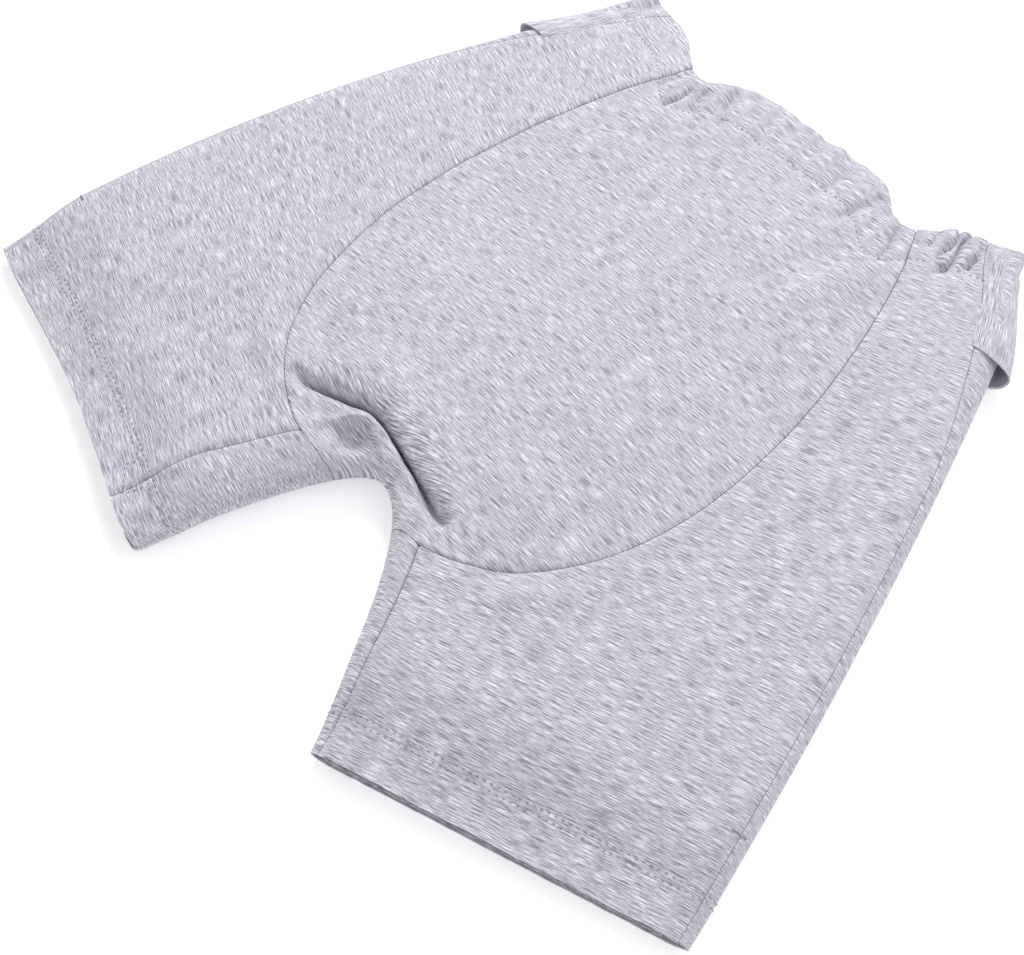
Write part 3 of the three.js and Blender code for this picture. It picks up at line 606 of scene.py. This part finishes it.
def heather_jersey():
    """Cotton and viscose single jersey. Dyed and undyed fibres are spun together, so that each course
    shows light and dark flecks a few millimetres long; soft, dull and slightly hairy."""
    material, tree, shader = new_material("heather_jersey", 0.92, 0.15)
    grain = node(tree, "ShaderNodeUVMap", {"uv_map": "grain"}).outputs["UV"]
    looks = (
        # length and width of the flecks, detail, then the tones they run through
        (11.0, 0.42, 1.0, [(0.28, "#8c8c95"), (0.50, "#c1c1ca"), (0.72, "#eeeef3")]),
        (3.2, 0.6, 0.0, [(0.30, "#e4e4e8"), (0.66, "#ffffff")]),
        (60.0, 26.0, 2.0, [(0.30, "#f7f7fa"), (0.70, "#ffffff")]),
    )
    colour = None
    for along, across, detail, tones in looks:
        place = node(tree, "ShaderNodeMapping", drawn_out(along, across), Vector=grain)
        settings = {"noise_dimensions": "2D", "Scale": 1.0, "Detail": detail, "Roughness": 0.6}
        fleck = node(tree, "ShaderNodeTexNoise", settings, Vector=place.outputs["Vector"])
        stops = [(at, linear(tone)) for at, tone in tones]
        tone = node(tree, "ShaderNodeValToRGB", {"stops": stops}, Fac=fleck.outputs["Fac"]).outputs["Color"]
        if colour:
            settings = {"data_type": "RGBA", "blend_type": "MULTIPLY", "Factor": 1.0}
            tone = node(tree, "ShaderNodeMix", settings, i6=colour, i7=tone).outputs[2]
        colour = tone
    tree.links.new(colour, shader.inputs["Base Color"])
    # courses 1.1 mm apart: a real course is about 0.6 mm, which is too fine to show
    place = node(tree, "ShaderNodeMapping", drawn_out(8.0, 1.1), Vector=grain)
    knit = node(tree, "ShaderNodeTexNoise", {"Scale": 1.0, "Detail": 1.0}, Vector=place.outputs["Vector"])
    bump = node(tree, "ShaderNodeBump", {"Strength": 0.22, "Distance": 0.0004}, Height=knit.outputs["Fac"])
    tree.links.new(bump.outputs["Normal"], shader.inputs["Normal"])
    return material


def plain_knit(name, hexes, roughness=0.9, rib_mm=1.4):
    """A light lining or webbing knit: fine wales with little colour in them."""
    material, tree, shader = new_material(name, roughness, 0.1)
    place = node(tree, "ShaderNodeTexCoord").outputs["Object"]
    settings = {"Scale": 1000 / rib_mm / 6.28, "Distortion": 0.6, "Detail": 1.0}
    ribs = node(tree, "ShaderNodeTexWave", settings, Vector=place).outputs["Fac"]
    stops = [(0.2, linear(hexes[0])), (0.8, linear(hexes[1]))]
    tone = node(tree, "ShaderNodeValToRGB", {"stops": stops}, Fac=ribs).outputs["Color"]
    tree.links.new(tone, shader.inputs["Base Color"])
    bump = node(tree, "ShaderNodeBump", {"Strength": 0.3, "Distance": 0.0003}, Height=ribs)
    tree.links.new(bump.outputs["Normal"], shader.inputs["Normal"])
    return material


def foam_material():
    """Closed-cell EVA foam, skinned by its mould: nearly black grey with a fine pebbled skin."""
    material, tree, shader = new_material("foam", 0.68)
    place = node(tree, "ShaderNodeTexCoord").outputs["Object"]
    cells = node(tree, "ShaderNodeTexVoronoi", {"Scale": 1000 / 1.6}, Vector=place).outputs["Distance"]
    tone = node(tree, "ShaderNodeTexNoise", {"Scale": 60.0, "Detail": 3.0}, Vector=place).outputs["Fac"]
    stops = [(0.3, linear("#3a3c42")), (0.7, linear("#4a4c53"))]
    colour = node(tree, "ShaderNodeValToRGB", {"stops": stops}, Fac=tone).outputs["Color"]
    tree.links.new(colour, shader.inputs["Base Color"])
    bump = node(tree, "ShaderNodeBump", {"Strength": 0.3, "Distance": 0.0004}, Height=cells)
    tree.links.new(bump.outputs["Normal"], shader.inputs["Normal"])
    return material


def thread_material():
    """Spun polyester sewing thread: a shade darker than the cloth, with a twist that catches light."""
    material, tree, shader = new_material("sewing_thread", 0.6, 0.2)
    place = node(tree, "ShaderNodeTexCoord").outputs["Object"]
    tone = node(tree, "ShaderNodeTexNoise", {"Scale": 900.0, "Detail": 1.0}, Vector=place).outputs["Fac"]
    stops = [(0.35, linear("#82828c")), (0.65, linear("#a0a0a9"))]
    colour = node(tree, "ShaderNodeValToRGB", {"stops": stops}, Fac=tone).outputs["Color"]
    tree.links.new(colour, shader.inputs["Base Color"])
    return material


HEATHER = heather_jersey()
LINING_KNIT = plain_knit("lining_knit", ("#d2d2da", "#e2e2e8"))
WEBBING = plain_knit("elastic_webbing", ("#dcdcda", "#f4f4f2"), 0.8, 2.0)
FOAM = foam_material()
THREAD = thread_material()


# ---- Panels ----
def patch(west, east, north, south, u, v):
    point = mix(west(v), east(v), u[:, None]) + mix(north(u), south(u), v[:, None])
    upper = mix(west(0.0), east(0.0), u[:, None])
    lower = mix(west(1.0), east(1.0), u[:, None])
    return point - mix(upper, lower, v[:, None])


def beside_seam(curve, t, outward):
    d = direction(curve, t)
    normal = np.stack([-d[..., 1], d[..., 0]], axis=-1)
    return curve(t) + normal * outward * SEAM_GAP / 2


def signed(p, side):
    return p * np.array([side, 1])


JUNCTION_ROW = {s: [float(r[0]) for r in row_of(s, JUNCTION[None])] for s in (LEFT, RIGHT)}
RISE = TOP_Y - CROTCH_Y
LEG_LENGTH = 500
ROW_GAP = SEAM_GAP / 2 / RISE
TURN_AT = 1 - 4 / 14  # the share of the crotch line that runs along the inner fold


def crotch_line(u):
    out = np.zeros((len(u), 2))
    for side, mine in ((RIGHT, u < 0.5), (LEFT, u >= 0.5)):
        share = np.abs(u[mine] - 0.5) * 2
        row_end, across_end = JUNCTION_ROW[side]
        row_end -= ROW_GAP
        on_fold = share < TURN_AT
        row = np.where(on_fold, mix(CROTCH_ROW, row_end, share / TURN_AT), row_end)
        across = np.where(on_fold, 0, across_end * (share - TURN_AT) / (1 - TURN_AT))
        out[mine] = signed(in_outline(side, across, row), side)
    return out


def grid(rows, columns):
    u, v = np.meshgrid(np.linspace(0, 1, columns), np.linspace(0, 1, rows))
    return u.ravel(), v.ravel()


def saddle_panel(name, top, rows, columns):
    u, v = grid(rows, columns)
    v = v + 0.35 * v * (1 - v)  # rows lie closer near the crotch, where the folds are tight
    reach = SEAM_AT_WAIST - SEAM_GAP / 2

    def waist(u):
        x = mix(-reach, reach, u)
        return pair(x, waist_line(x))

    plan = patch(
        lambda t: signed(beside_seam(SADDLE_SEAM, t, -1), RIGHT),
        lambda t: signed(beside_seam(SADDLE_SEAM, t, -1), LEFT),
        waist,
        crotch_line,
        u,
        v,
    )

    def place(depth):
        out = np.zeros((len(plan), 3))
        for side, mine in ((RIGHT, plan[:, 0] < 0), (LEFT, plan[:, 0] >= 0)):
            out[mine] = on_garment(side, signed(plan[mine], side), top, depth, True)
        return out

    return layer(name, (rows, columns), place, plan / 1000, HEATHER)


SEAM_SHARE = 11 / 16  # the share of a leg's inner seam that runs beside the saddle


def leg_inner_seam(side, t, outward):
    t = np.asarray(t, float)
    upper = beside_seam(SADDLE_SEAM, np.minimum(1, t / SEAM_SHARE), outward)
    lower = beside_seam(INSEAM[side], np.maximum(0, (t - SEAM_SHARE) / (1 - SEAM_SHARE)), outward)
    return np.where((t <= SEAM_SHARE)[..., None], upper, lower)


def leg_grain(side, p):
    c, s = math.cos(LEG_SPLAY), math.sin(LEG_SPLAY)
    return pair(side * (p[:, 0] * c + p[:, 1] * s), p[:, 1] * c - p[:, 0] * s) / 1000 + side


def leg_front(name, side, rows, columns):
    u, v = grid(rows, columns)
    corner_in = leg_inner_seam(side, 0.0, 1)
    corner_out = side_seam(side, 0.0, -1)

    def waist(u):
        x = mix(corner_in[0], corner_out[0], u)
        return pair(x, waist_line(x))

    def hem(u):
        return mix(leg_inner_seam(side, 1.0, 1), side_seam(side, 1.0, -1), u[:, None])

    plan = patch(
        lambda t: leg_inner_seam(side, t, 1), lambda t: side_seam(side, t, -1), waist, hem, u, v
    )

    def place(depth):
        return on_garment(side, plan, True, depth)

    return layer(name, (rows, columns), place, leg_grain(side, plan), HEATHER)


# the back of a leg meets the saddle, then the crotch seam, then the inseam, at these shares of its height
ABOVE_CROTCH = 11 / 18
BELOW_CROTCH = 13 / 18
FAN = 0.05


def leg_back_start(side, v):
    """Where the back of a leg ends on its inner side: along its loop, and in which row."""
    row_meet, across_meet = JUNCTION_ROW[side]
    meet = row_meet + ROW_GAP
    upper_row, upper_across = row_of(side, beside_seam(SADDLE_SEAM, np.minimum(1, v / ABOVE_CROTCH), 1))
    loop = loop_of(side, upper_row)
    upper = unroll(loop, (1 - upper_across) * loop[1])
    loop_meet = loop_of(side, np.array(meet))
    at_seam = unroll(loop_meet, (1 - across_meet) * loop_meet[1])
    share = np.clip((v - ABOVE_CROTCH) / (BELOW_CROTCH - ABOVE_CROTCH), 0, 1)
    middle = mix(at_seam, 2 * loop_meet[4] - at_seam, share)
    t = np.maximum(0, (v - BELOW_CROTCH) / (1 - BELOW_CROTCH))
    lower_row, lower_across = row_of(side, beside_seam(INSEAM[side], t, -1))
    lower_row = np.minimum(1, lower_row)
    loop = loop_of(side, lower_row)
    lower = 2 * loop[4] - unroll(loop, (1 - lower_across) * loop[1])
    along = np.where(v < ABOVE_CROTCH, upper, np.where(v <= BELOW_CROTCH, middle, lower))
    row = np.where(v < ABOVE_CROTCH, upper_row, np.where(v <= BELOW_CROTCH, meet, lower_row))
    return along, row


def leg_back(name, side, rows, columns):
    u, v = grid(rows, columns)
    meet = JUNCTION_ROW[side][0]
    side_row = np.interp(v, [0, ABOVE_CROTCH, BELOW_CROTCH, 1], [0, meet - FAN, meet + FAN, 1])
    start_along, start_row = leg_back_start(side, v)
    row = mix(side_row, start_row, u)
    begin = -unroll(loop_of(side, row), side_seam_inset(row) - SEAM_GAP / 2)
    along = mix(begin, start_along, u)

    def place(depth):
        return on_loop(side, along, row, depth)

    grain = pair(along, LEG_LENGTH * row) / 1000 + 2 * side
    return layer(name, (rows, columns), place, grain, HEATHER)


def waist_band(name, outside, thickness, finish, rows=14, columns=360):
    """A strip all round the inside of the waist, with its ends together at the middle of the back."""
    u, v = grid(rows, columns)

    def place(depth):
        points = np.zeros((len(u), 3))
        for side, mine in ((LEFT, u < 0.5), (RIGHT, u >= 0.5)):
            turn = np.where(u[mine] < 0.5, 2 * u[mine], 2 - 2 * u[mine])
            loop = loop_of(side, np.array(0.0))
            along = mix(loop[4] - 0.3, -loop[4], turn)
            from_side = roll_up(loop, np.abs(along))
            edge = in_outline(side, 1 - from_side / loop[1], np.zeros(len(turn)))
            y = waist_line(edge[:, 0]) - 2 - v[mine] * (WAISTBAND - 2)
            row, _ = row_of(side, pair(np.minimum(edge[:, 0], WAIST_HALF - 1), y))
            _, outer = row_ends(side, row)
            plan = pair(edge[:, 0] * outer[:, 0] / WAIST_HALF, y)
            points[mine] = on_garment(side, plan, along < 0, depth)
        return points

    return layer(name, (rows, columns), place, pair(0.6 * u, 0.033 * v), finish, thickness, outside)


def hem_ring(side, along, up):
    """The plan of a line round a leg, a distance up from its hem, and which of it is on the front."""
    loop = loop_of(side, np.array(1.0))
    wrapped = np.where(along > loop[4], along - 2 * loop[4], along)
    from_side = roll_up(loop, np.abs(wrapped))
    base = in_outline(side, 1 - from_side / loop[1], np.ones(len(along)))
    outer_way = -direction(SIDE_EDGE[side], 1.0)
    inner_way = -direction(INNER_EDGE[side], 1.0)
    share = (from_side / loop[1])[:, None]
    return base + mix(outer_way, inner_way, share) * up[:, None], wrapped < 0


def hem_facing(name, side, rows=12, columns=300):
    u, v = grid(rows, columns)
    loop = loop_of(side, np.array(1.0))
    start = -unroll(loop, 60.0) + 0.3
    along = mix(start, start + 2 * loop[4] - 0.6, u)
    plan, front = hem_ring(side, along, mix(1.0, HEM_DEPTH, v))

    def place(depth):
        return on_garment(side, plan, front, depth)

    grain = pair(0.9 * u, 0.025 * v)
    return layer(name, (rows, columns), place, grain, HEATHER, FACING, JERSEY + HEM_GAP)


STRAP_MOUTH = {LEFT: 80, RIGHT: 87}  # below the waist
STRAP_LENGTH = 64


def pull_loop(name, side, rows=56, columns=64):
    """A strap over the side fold, sewn in at the side seam. It widens to its mouth, which faces the hem."""
    u, v = grid(rows, columns)
    y = TOP_Y - STRAP_MOUTH[side] + (1 - v) * STRAP_LENGTH
    row, _ = row_of(side, pair(WAIST_HALF - 1, y))
    _, outer = row_ends(side, row)
    half = height_at(side, outer) / 2
    angle = mix(-QUARTER, QUARTER, u)
    back = u < 0.5
    inset = np.where(back, 3, np.minimum(20, side_seam_inset(row) + 1))
    shell = on_garment(side, pair(outer[:, 0] - inset, y), True, 0.0)[:, 2]
    rim = ease(1 - u, 0, 0.06)
    limp = 1.3 * np.sin(3.4 * v + 2.2 * u) * np.cos(angle) + 0.5 * cloud(40 * u, 60 * v, 12, 9.0 + side)

    def place(depth):
        above = 0.1 + 1.3 * rim - depth * (0.1 + 0.9 * rim)
        reach = mix(2.0, 12.5, v**1.4) - depth + limp * (0.3 + 0.7 * v)
        x = outer[:, 0] - inset + (inset + reach) * np.cos(angle)
        rise = np.where(back, half - depth - 0.2, shell - half + above)
        hang = y + 3.0 * np.cos(angle) * v - 2.0 * np.abs(np.sin(angle)) * v
        return np.stack([side * x + waist_lean(x, y), hang, half + rise * np.sin(angle)], axis=1)

    return layer(name, (rows, columns), place, pair(0.06 * v, 0.08 * u) + 3 * side, HEATHER)


# ---- Pad pockets and pads ----
HIP_PAD = {"length": 180, "width": 92, "thick": 9, "taper": 0.08}
HIP_PAD_X = 160
HIP_PAD_ABOVE_HEM = 152
HIP_PAD_TILT = math.radians(14)
TAIL_PAD = {"length": 130, "width": 112, "thick": 7, "taper": -0.3}
TAIL_PAD_Y = 12
PAD_GAP = 0.6
STACK = JERSEY + 2 * LAYER_GAP + ELASTIC + FACING
TAIL_PAD_FOOT = STACK + PAD_GAP
HIP_PAD_FOOT = TAIL_PAD_FOOT + TAIL_PAD["thick"] + PAD_GAP
CUSHION = 22.0
POCKET_MARGIN = 14
POCKET_FOOT = 23.1
POCKET_HEM = 20


def hip_pad_middle(side):
    along = hem_direction(LEFT)
    up = square_to_hem(LEFT) * HIP_PAD_ABOVE_HEM
    run = (HIP_PAD_X - HEM_INNER[LEFT][0] - up[0]) / along[0]
    return signed(HEM_INNER[LEFT] + along * run + up, side)


def turned(x, y, angle):
    c, s = math.cos(angle), math.sin(angle)
    return x * c - y * s, x * s + y * c


def sewn_edge(u, v):
    """1 where a pocket is sewn down, at its two sides and its foot; 0 where it lies on the pad."""
    return np.maximum(ease(np.abs(2 * u - 1), 0.81, 1), ease(v, 0.91, 1))


def hip_pocket(name, side, rows=60, columns=60):
    u, v = grid(rows, columns)
    half = HIP_PAD["width"] / 2 + POCKET_MARGIN
    foot = HIP_PAD["length"] / 2 + POCKET_FOOT
    middle = hip_pad_middle(side)
    up = mix(HIP_PAD["length"] / 2 + POCKET_HEM, -foot, v)
    x, y = turned((2 * u - 1) * half, up, side * HIP_PAD_TILT)
    row, across = row_of(side, pair(side * (x + middle[0]), y + middle[1]))
    kept = in_outline(side, np.minimum(across, 1 - (SIDE_FOLD + 2) / loop_of(side, row)[1]), row)
    shell = on_garment(side, kept, True, JERSEY + 2 * LAYER_GAP)[:, 2]
    quilt = 0.12 * np.sin(u * 60) * np.sin(v * 90)
    under = HIP_PAD_FOOT - PAD_GAP + quilt - 0.15

    def place(depth):
        z = mix(under, shell, sewn_edge(u, v)) - depth
        return np.stack([side * kept[:, 0], kept[:, 1], z], axis=1)

    return layer(name, (rows, columns), place, pair(0.12 * u, 0.22 * v), LINING_KNIT, LINING)


def tail_pocket(name, rows=60, columns=60):
    u, v = grid(rows, columns)
    x = (2 * u - 1) * (TAIL_PAD["width"] / 2 + POCKET_MARGIN)
    foot = TAIL_PAD["length"] / 2 + POCKET_FOOT
    y = TAIL_PAD_Y + mix(TAIL_PAD["length"] / 2 + POCKET_HEM, -foot, v)
    shell = on_garment(LEFT, pair(np.abs(x), y), False, JERSEY + LAYER_GAP)[:, 2]
    quilt = 0.12 * np.sin(u * 60) * np.sin(v * 70)
    over = TAIL_PAD_FOOT + TAIL_PAD["thick"] + PAD_GAP + quilt + 0.15

    def place(depth):
        return np.stack([x, y, mix(over, shell, sewn_edge(u, v)) + depth], axis=1)

    return layer(name, (rows, columns), place, pair(0.14 * u, 0.17 * v), LINING_KNIT, LINING)


def pad(name, body, size, place, tilt, foot, cells=110):
    """A moulded foam pad: rounded in outline and edge, with six-sided cushions pressed into its top."""
    length, width, thick, taper = (size[key] for key in ("length", "width", "thick", "taper"))
    a, b = np.meshgrid(np.linspace(-1, 1, cells), np.linspace(-1, 1, cells))
    a, b = a.ravel(), b.ravel()
    x, y = a * np.sqrt(1 - b * b / 2), b * np.sqrt(1 - a * a / 2)
    r = np.minimum(1, np.hypot(x, y))
    way = np.arctan2(y, x)
    power = 2 / 2.6
    out_y = length / 2 * np.sign(np.sin(way)) * np.abs(np.sin(way)) ** power
    out_x = width / 2 * np.sign(np.cos(way)) * np.abs(np.cos(way)) ** power
    px, py = r * out_x, r * out_y
    px = px * (1 - taper * py / length)
    near = np.full(len(px), 1e9)
    second = np.full(len(px), 1e9)
    for i in range(-6, 7):
        for j in range(-8, 9):
            d = np.hypot(px - CUSHION * (i + 0.5 * (j % 2)), py - CUSHION * 0.866 * j)
            second = np.where(d < near, near, np.minimum(second, d))
            near = np.minimum(near, d)
    groove = np.exp(-(((second - near) / 2.4) ** 2)) * ease(0.93 - r, 0, 0.12)
    round_edge = np.sqrt(np.maximum(0, 1 - r**9))
    mid = foot + thick / 2
    down = (thick / 2 - 0.25) * round_edge + 0.25
    up = down - 1.5 * groove
    gx, gy = turned(px, py, tilt)
    gx, gy = gx + place[0], gy + place[1]
    shape = (cells, cells, 3)
    face = np.stack([gx, gy, mid + up], axis=1).reshape(shape)
    back = np.stack([gx, gy, mid - down], axis=1).reshape(shape)
    return cloth(name, face, back, pair(px, py) / 1000, FOAM, body)


# ---- Seams and stitches ----
def strip(name, side, line, top, width=7.0):
    """The turnings of a seam: a narrow strip that backs it on the inside."""
    rows, n = 5, 240
    t = np.linspace(0, 1, n)
    way = direction(line, t)
    normal = np.stack([-way[:, 1], way[:, 0]], axis=-1)
    offsets = np.linspace(-width / 2, width / 2, rows)
    plan = (line(t)[None] + normal[None] * offsets[:, None, None]).reshape(-1, 2)

    def place(depth):
        return on_garment(side, plan, top, depth)

    grain = pair(0.4 * np.tile(t, rows), np.repeat(offsets, n) / 1000)
    return layer(name, (rows, n), place, grain, HEATHER, TURNING, TURNING_DEPTH)


def crotch_strip(name, side):
    """The turnings of the short seam that joins the back of a leg to the saddle round the crotch."""
    rows, n = 5, 80
    row_meet, across_meet = JUNCTION_ROW[side]
    loop = loop_of(side, np.array(row_meet))
    at_seam = unroll(loop, (1 - across_meet) * loop[1])
    along = np.tile(np.linspace(at_seam - 2, 2 * loop[4] - at_seam + 2, n), rows)
    row = np.repeat(row_meet + np.linspace(-3.5, 3.5, rows) / RISE, n)

    def place(depth):
        return on_loop(side, along, row, depth)

    return layer(name, (rows, n), place, pair(along, RISE * row) / 1000, HEATHER, TURNING, TURNING_DEPTH)


def model_stitch():
    """One stitch, 1 mm long and 1 mm thick before it is laid: a short six-sided strand whose ends taper
    and turn down into the cloth."""
    bpy.ops.object.select_all(action="DESELECT")
    bpy.ops.mesh.primitive_cylinder_add(vertices=6, radius=0.5, depth=0.5, rotation=(0, QUARTER, 0))
    bpy.ops.object.transform_apply(location=False, rotation=True, scale=False)
    one = bpy.context.object
    for end in (-1, 1):
        for polygon in one.data.polygons:
            polygon.select = polygon.normal.x * end > 0.9
        bpy.ops.object.mode_set(mode="EDIT")
        bpy.ops.mesh.select_mode(type="FACE")
        bpy.ops.mesh.extrude_region_move(TRANSFORM_OT_translate={"value": (0.25 * end, 0, -0.3)})
        bpy.ops.transform.resize(value=(1, 0.35, 0.35))
        bpy.ops.mesh.select_all(action="DESELECT")
        bpy.ops.object.mode_set(mode="OBJECT")
    points = np.array([v.co for v in one.data.vertices])
    faces = [list(f.vertices) for f in one.data.polygons]
    bpy.data.objects.remove(one, do_unlink=True)
    return points, faces


STITCH_POINTS, STITCH_FACES = model_stitch()


def stitches(name, paths, length=2.6, gap=1.4, thick=0.6):
    """Copies the one stitch end to end along each path, which is in millimetres."""
    starts, ends = [], []
    for path in paths:
        step = np.linalg.norm(np.diff(path, axis=0), axis=1)
        run = np.concatenate([[0], np.cumsum(step)])
        begin = np.arange(0.3, run[-1] - length, length + gap)
        starts.append(np.stack([np.interp(begin, run, path[:, k]) for k in range(3)], axis=1))
        ends.append(np.stack([np.interp(begin + length, run, path[:, k]) for k in range(3)], axis=1))
    start, end = np.concatenate(starts), np.concatenate(ends)
    way = end - start
    across = np.cross([0, 0, 1.0], way)
    across /= np.maximum(1e-6, np.linalg.norm(across, axis=1, keepdims=True))
    over = np.cross(way, across) / np.linalg.norm(way, axis=1, keepdims=True)
    points, faces = [], []
    for x, y, z in STITCH_POINTS:
        points.append((start + end) / 2 + way * x + across * (thick * y) + over * (thick * z))
    points = np.stack(points, axis=1)
    count = len(STITCH_POINTS)
    for k in range(len(start)):
        faces += [[i + k * count for i in face] for face in STITCH_FACES]
    return from_points(name, points.reshape(-1, 3) / 1000, faces, THREAD, "garment")


def hem_rows(side):
    """Two rows of stitches round the hem, and on the right leg a square where they overlap."""
    loop = loop_of(side, np.array(1.0))
    paths = []
    for up in (22.0, 25.5):
        along = np.linspace(-loop[4] + 0.5, loop[4] - 0.5, 1400)
        plan, front = hem_ring(side, along, np.full(len(along), up))
        paths.append(on_garment(side, plan, front, -0.22))
    if side == RIGHT:
        x, y = zip((105, -230), (99, -221), (84, -231), (90, -241), (105, -230))
        t = np.linspace(0, 4, 60)
        square = pair(np.interp(t, range(5), x), np.interp(t, range(5), y))
        paths.append(on_garment(side, square, True, -0.22))
    return paths


def casing_row(side):
    """The row under the waistband that closes the casing of the elastic."""
    x = np.linspace(0.5, 150, 500)
    plan = pair(x, waist_line(x) - WAISTBAND)
    return [on_garment(side, plan, top, -0.2) for top in (True, False)]


def bar_tack(name, side):
    """A dense bar of thread across the side seam, where the pad pocket ends."""
    end = SIDE_EDGE[side](1.0) - 55 * direction(SIDE_EDGE[side], 1.0) - [SIDE_SEAM_INSET, 0]
    row, _ = row_of(side, end[None])
    seam = side_seam(side, row)[0]
    up = square_to_hem(side) * np.linspace(-1.3, 1.3, 9)[:, None]
    paths = []
    for k in np.linspace(-3.6, 3.6, 12):
        plan = seam + hem_direction(side) * k + up + [-1.0, 0]
        paths.append(on_garment(side, plan, True, -0.15))
    return stitches(name, paths, 2.0, 0.6, 0.55)


# ---- Camera, light and table ----
def add_camera():
    azimuth, elevation = math.radians(46.9), math.radians(58.9)
    target = Vector((0.0406, -0.0687, 0))
    level = math.cos(elevation)
    away = Vector((math.sin(azimuth) * level, -math.cos(azimuth) * level, math.sin(elevation)))
    data = bpy.data.cameras.new("camera")
    data.lens = 53.33
    data.sensor_width = 36
    camera = bpy.data.objects.new("camera", data)
    camera.location = target + 0.8584 * away
    camera.rotation_euler = (-away).to_track_quat("-Z", "Y").to_euler()
    bpy.context.scene.collection.objects.link(camera)
    bpy.context.scene.camera = camera


def softbox(name, place, size, power):
    data = bpy.data.lights.new(name, "AREA")
    data.shape = "SQUARE"
    data.size = size
    data.energy = power
    lamp = bpy.data.objects.new(name, data)
    lamp.location = place
    lamp.rotation_euler = (-Vector(place)).to_track_quat("-Z", "Y").to_euler()
    bpy.context.scene.collection.objects.link(lamp)


def add_light():
    world = bpy.data.worlds.new("studio")
    world.use_nodes = True
    background = world.node_tree.nodes["Background"].inputs
    background["Color"].default_value = (1, 1, 1, 1)
    background["Strength"].default_value = 0.73
    bpy.context.scene.world = world
    softbox("key", (-1.2, 1.8, 1.8), 1.2, 58)
    softbox("fill", (1.1, 0.5, 1.5), 1.4, 5)
    bpy.context.scene.view_settings.view_transform = "Standard"


def add_table():
    bpy.ops.object.select_all(action="DESELECT")
    bpy.ops.mesh.primitive_plane_add(size=6, location=(0, 0, -0.0002))
    table = bpy.context.object
    table.name = "table"
    # a pale sheet that glows a little, though it is no lamp: painted light, so that shadows on it and the
    # shade under the cloth's folds stay pale
    material, _, shader = new_material("table_painted_glow", 0.8)
    shader.inputs["Base Color"].default_value = linear("#fbfbfc")
    shader.inputs["Emission Color"].default_value = (1, 1, 1, 1)
    # the glow is painted light, not a lamp under the table
    shader.inputs["Emission Strength"].default_value = 0.3
    table.data.materials.append(material)


def main():
    fine = 1.0

    def count(n):
        return max(4, int(n * fine))

    stand_for = {}

    def sheet(piece, cad_node):
        stand_for[piece] = cad_node

    def foam(piece, cad_node):
        stand_for[piece] = cad_node

    front = saddle_panel("front_saddle_cloth", True, count(240), count(168))
    back = saddle_panel("back_saddle_cloth", False, count(120), count(90))
    casing = waist_band("waist_casing_cloth", JERSEY + 2 * LAYER_GAP + ELASTIC, FACING, HEATHER)
    web = waist_band("waist_elastic_web", JERSEY + LAYER_GAP, ELASTIC, WEBBING)
    casing_stitching = stitches("waist_stitching", casing_row(LEFT) + casing_row(RIGHT))
    tail_lining = tail_pocket("tail_pocket_lining")
    sheet(back, "back_saddle_panel")
    sheet(casing, "waist_casing")
    sheet(web, "waist_elastic")
    sheet(tail_lining, "tail_pad_pocket")
    foam(pad("tail_foam", "tail_pad", TAIL_PAD, (0, TAIL_PAD_Y), 0.0, TAIL_PAD_FOOT), "tail_pad")
    for word, side in (("left", LEFT), ("right", RIGHT)):
        shell = leg_front(f"{word}_leg_front_cloth", side, count(290), count(104))
        behind = leg_back(f"{word}_leg_back_cloth", side, count(230), count(190))
        turning = hem_facing(f"{word}_hem_turning", side)
        strap = pull_loop(f"{word}_pull_strap", side)
        lining = hip_pocket(f"{word}_hip_pocket_lining", side)
        tack = bar_tack(f"{word}_bar_tack_thread", side)
        stitching = stitches(f"{word}_hem_stitching", hem_rows(side))
        strip(f"{word}_saddle_turnings", side, SADDLE_SEAM, True)
        turnings = [
            strip(f"{word}_back_saddle_turnings", side, SADDLE_SEAM, False),
            strip(f"{word}_inseam_turnings", side, INSEAM[side], True),
            strip(f"{word}_side_turnings", side, lambda t, s=side: side_seam(s, t), True, 5.0),
            crotch_strip(f"{word}_crotch_turnings", side),
        ]
        sheet(behind, f"{word}_leg_back")
        sheet(shell, f"{word}_leg_front")
        sheet(turning, f"{word}_hem_facing")
        sheet(strap, f"{word}_pull_loop")
        sheet(lining, f"{word}_hip_pad_pocket")
        place = hip_pad_middle(side)
        body = f"{word}_hip_pad"
        foam(pad(f"{word}_hip_foam", body, HIP_PAD, place, side * HIP_PAD_TILT, HIP_PAD_FOOT), body)
        stand_for[tack] = f"{word}_bar_tack"
    sheet(front, "front_saddle_panel")
    for piece, cad_node in stand_for.items():
        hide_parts(cad_node)
    add_camera()
    add_light()
    add_table()


main()
